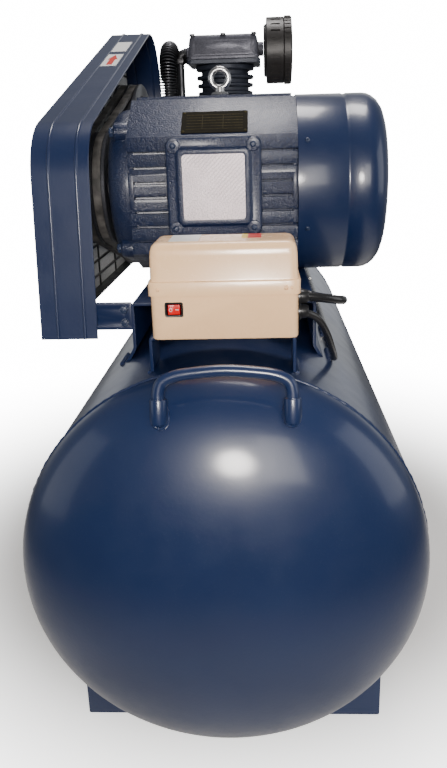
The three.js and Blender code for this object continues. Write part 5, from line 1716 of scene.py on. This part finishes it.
# %% [markdown]
# The gauge has a white dial under a glass. Its scale has major and minor marks over three quarters of a
# turn and no figures. The needle is a separate part, since it turns.

# %% Gauge
gauge = lathe("gauge_case", "x", (0, VALVES_Y, 308),
              [(0, 30.3), (6, 30.3), (6, 42), (24, 42), (25.6, 43.4), (26, 46), (26, 58), (25.2, 60),
               (23.6, 60.6), (22.8, 60), (22.8, 54), (0, 54)],
              96)
settle(gauge, black, "pressure_gauge")
dial = lathe("gauge_dial", "x", (0, VALVES_Y, 308), [(0, 54.05), (22.6, 54.05), (22.6, 54.3), (0, 54.3)],
             72)
settle(dial, label_white, fixed_to="pressure_gauge", slot="black_plastic")
ticks = []
for k in range(31):
    reach = 5 if k % 5 == 0 else 2.6
    half = 0.45 if k % 5 == 0 else 0.25
    mark = brick("tick", (54.3, 54.5), (VALVES_Y - half, VALVES_Y + half), (308 + 21 - reach, 308 + 21))
    ticks.append(turn(mark, "X", -135 + 9 * k, at(0, VALVES_Y, 308)))
settle(gather("gauge_scale", ticks), black, fixed_to="pressure_gauge")
hub = lathe("needle_hub", "x", (0, VALVES_Y, 308), [(1.7, 54.7), (4, 54.7), (3.6, 56), (1.7, 56)], 32)
hand = plate("hand", "x", [(VALVES_Y - 18, 307.8), (VALVES_Y - 18, 308.2), (VALVES_Y - 3, 309.1),
                           (VALVES_Y + 7, 308.9),
                           (VALVES_Y + 7, 307.1), (VALVES_Y - 3, 306.9)], (54.7, 55.4))
carve(hand, lathe("pin", "x", (0, VALVES_Y, 308), [(0, 50), (1.7, 50), (1.7, 60), (0, 60)], 24))
settle(gather("needle", [hub, hand]), red, "gauge_needle")


def clear_glass():
    f = Finish("gauge_glass", transmission_weight=1.0, roughness=0.02, ior=1.45)
    return f.set(base_color=f.mix(f.between(f.grain(20), 0.3, 0.7), (1, 1, 1), (0.96, 0.98, 0.98)))


glass = lathe("gauge_window", "x", (0, VALVES_Y, 308), [(0, 57.6), (22.7, 57.6), (22.7, 58.4), (0, 58.9)],
              64)
settle(glass, clear_glass(), fixed_to="pressure_gauge", slot="black_plastic")

# %% Safety valve, outlet and drain
safety = lathe("safety_body", "x", (0, VALVES_Y, 308),
               [(3, -79.6), (6.6, -79.6), (8, -78), (8, -65), (12, -63), (12, -46), (9, -44), (9, -30.3),
                (0, -30.3), (0, -50),
                (3, -50)][::-1], 48)
settle(gather("safety_body", [safety, hex_nut("x", (0, VALVES_Y, 308), -45, -36, 12.5)]), brass,
       "safety_valve")
stem = lathe("stem", "x", (0, VALVES_Y, 308), [(0, -92), (2, -91), (2, -54), (0, -54)], 20)
hoop = [at(-100 + 9 * math.cos(a), VALVES_Y + 9 * math.sin(a), 308)
        for a in [2 * math.pi * i / 48 for i in range(48)]]
settle(gather("pull_ring", [swept("hoop", hoop, 1.6 * MM, 14, closed=True), stem]), bright_steel,
       "safety_ring")

start = VALVES_Y + 30.3
cock = lathe("cock", "y", (0, 0, 282),
             [(7, start), (12, start), (13, start + 1), (13, start + 16), (11, start + 18),
              (11, start + 34), (13, start + 36),
              (13, start + 44), (9.6, start + 45), (9.6, start + 59), (9, start + 60), (7, start + 60)], 48)
threads = [lathe("thread", "y", (0, 0, 282),
                 [(9, start + w), (10.6, start + w + 0.8), (9, start + w + 1.6)], 48)
           for w in (47, 49.5, 52, 54.5)]
neck = lathe("neck", "z", (0, start + 26, 0), [(0, 289), (7, 289), (7, 299), (6, 301), (0, 301)], 32)
settle(gather("outlet_cock", [cock, neck, *threads]), brass, "outlet_valve")
lever_line = [(-9, 0), (-7, 8), (-6, 20), (-7, 64), (-4, 72), (4, 72), (7, 64), (6, 20), (7, 8), (9, 0),
              (6, -7), (-6, -7)]
lever = plate("outlet_handle", "z", [(a, start + 26 + b) for a, b in lever_line], (302.2, 306.6), 3)
soften(lever, 1.0 * MM, 2, 40)
settle(lever, red, "outlet_lever")
lever_nut = hex_screw(at(0, start + 26, 306.6), "z", 1, 6 * MM)
settle(gather("lever_nut", lever_nut), zinc, fixed_to="outlet_lever", slot="zinc_plate")

drain = lathe("drain_body", "z", (0, 575, 0), [(0, -284), (9, -284), (10, -283), (10, -263), (0, -262.4)],
              40)
spout = lathe("spout", "x", (0, 575, -273),
              [(0, 4), (6.4, 4), (7, 6), (7, 30), (5.6, 34), (4.4, 34), (4.4, 20), (0, 20)], 32)
settle(weld(drain, spout), brass, "drain_valve")
screw = lathe("drain_stem", "x", (0, 575, -273), [(0, -26), (4, -25), (4, -10.6), (0, -10.6)], 24)
wings = plate("wings", "x", [(575 - 13, -276.6), (575 - 13, -269.4), (575 - 4, -271), (575 + 4, -271),
                             (575 + 13, -269.4),
                             (575 + 13, -276.6), (575 + 4, -275), (575 - 4, -275)], (-26, -22.4), 1.4)
settle(weld(screw, wings), brass, "drain_screw")

# %% [markdown]
# ## Leads
# Two leads are held by the machine from end to end. The thick one runs in a loop from the starter box to
# the motor's terminal box. The thin one follows the platform's edge to the pressure switch. Each enters
# its box through a ribbed gland, and clips hold the thin one.

# %% Leads
MOTOR_LEAD = [
    (84, 60, 318), (104, 62, 318), (126, 68, 314), (144, 80, 309), (150, 98, 305), (138, 118, 302),
    (112, 136, 304), (80, 160, 310), (52, 190, 318), (32, 222, 328), (25, 248, 340), (24, 262, 356),
              (24, 262, 388),
]
SWITCH_LEAD = [
    (84, 60, 300), (102, 62, 298), (118, 72, 288), (130, 90, 266), (140, 118, 236), (147, 160, 212),
    (150, 230, 206), (150, 420, 206), (150, 620, 206), (150, 820, 206), (149, 960, 206), (140, 1004, 214),
    (112, 1026, 232), (70, 1020, 262), (30, 1000, 330), (18, 986, 364), (18, 994, 372), (18, 1007.6, 372),
]
for name, part, route, radius in (("thick_lead", "motor_lead", MOTOR_LEAD, 5.5),
                                  ("thin_lead", "switch_lead", SWITCH_LEAD, 4.5)):
    way = evenly(line_of(route, 10), 3 * MM)
    lead = swept(name, way, radius * MM, 20)
    settle(lead, lead_rubber, part)
    print(name, "length", round(sum((b - a).length for a, b in zip(way, way[1:])), 3), "m")

glands = []
for z in (318, 300):
    profile = [(6.2, 89.5), (6.2, 92.2), (10.5, 92.2), (10.5, 96), (8.6, 97), (8.2, 103), (6.2, 106)]
    glands.append(lathe("box_gland", "x", (0, 60 + (2 if z == 318 else 1.6), z), profile, 32))
terminal_gland = lathe("terminal_gland", "z", (24, 262, 0),
                       [(6.0, 369.6), (10.5, 369.6), (10.5, 364), (8.6, 363), (8.0, 357), (6.0, 355)], 32)
settle(gather("lead_glands", glands), black, fixed_to="starter_base", slot="black_plastic")
settle(terminal_gland, black, fixed_to="terminal_box", slot="black_plastic")
clips = []
for y in (300, 520, 740, 920):
    line = [at(150 + 5.6 * math.cos(a), y, 206 + 5.6 * math.sin(a))
            for a in [math.radians(60 + 10 * i) for i in range(25)]]
    clips.append(swept("clip", line, 1.1 * MM, 10))
settle(gather("lead_clips", clips), zinc, fixed_to="tank_shell", slot="zinc_plate")
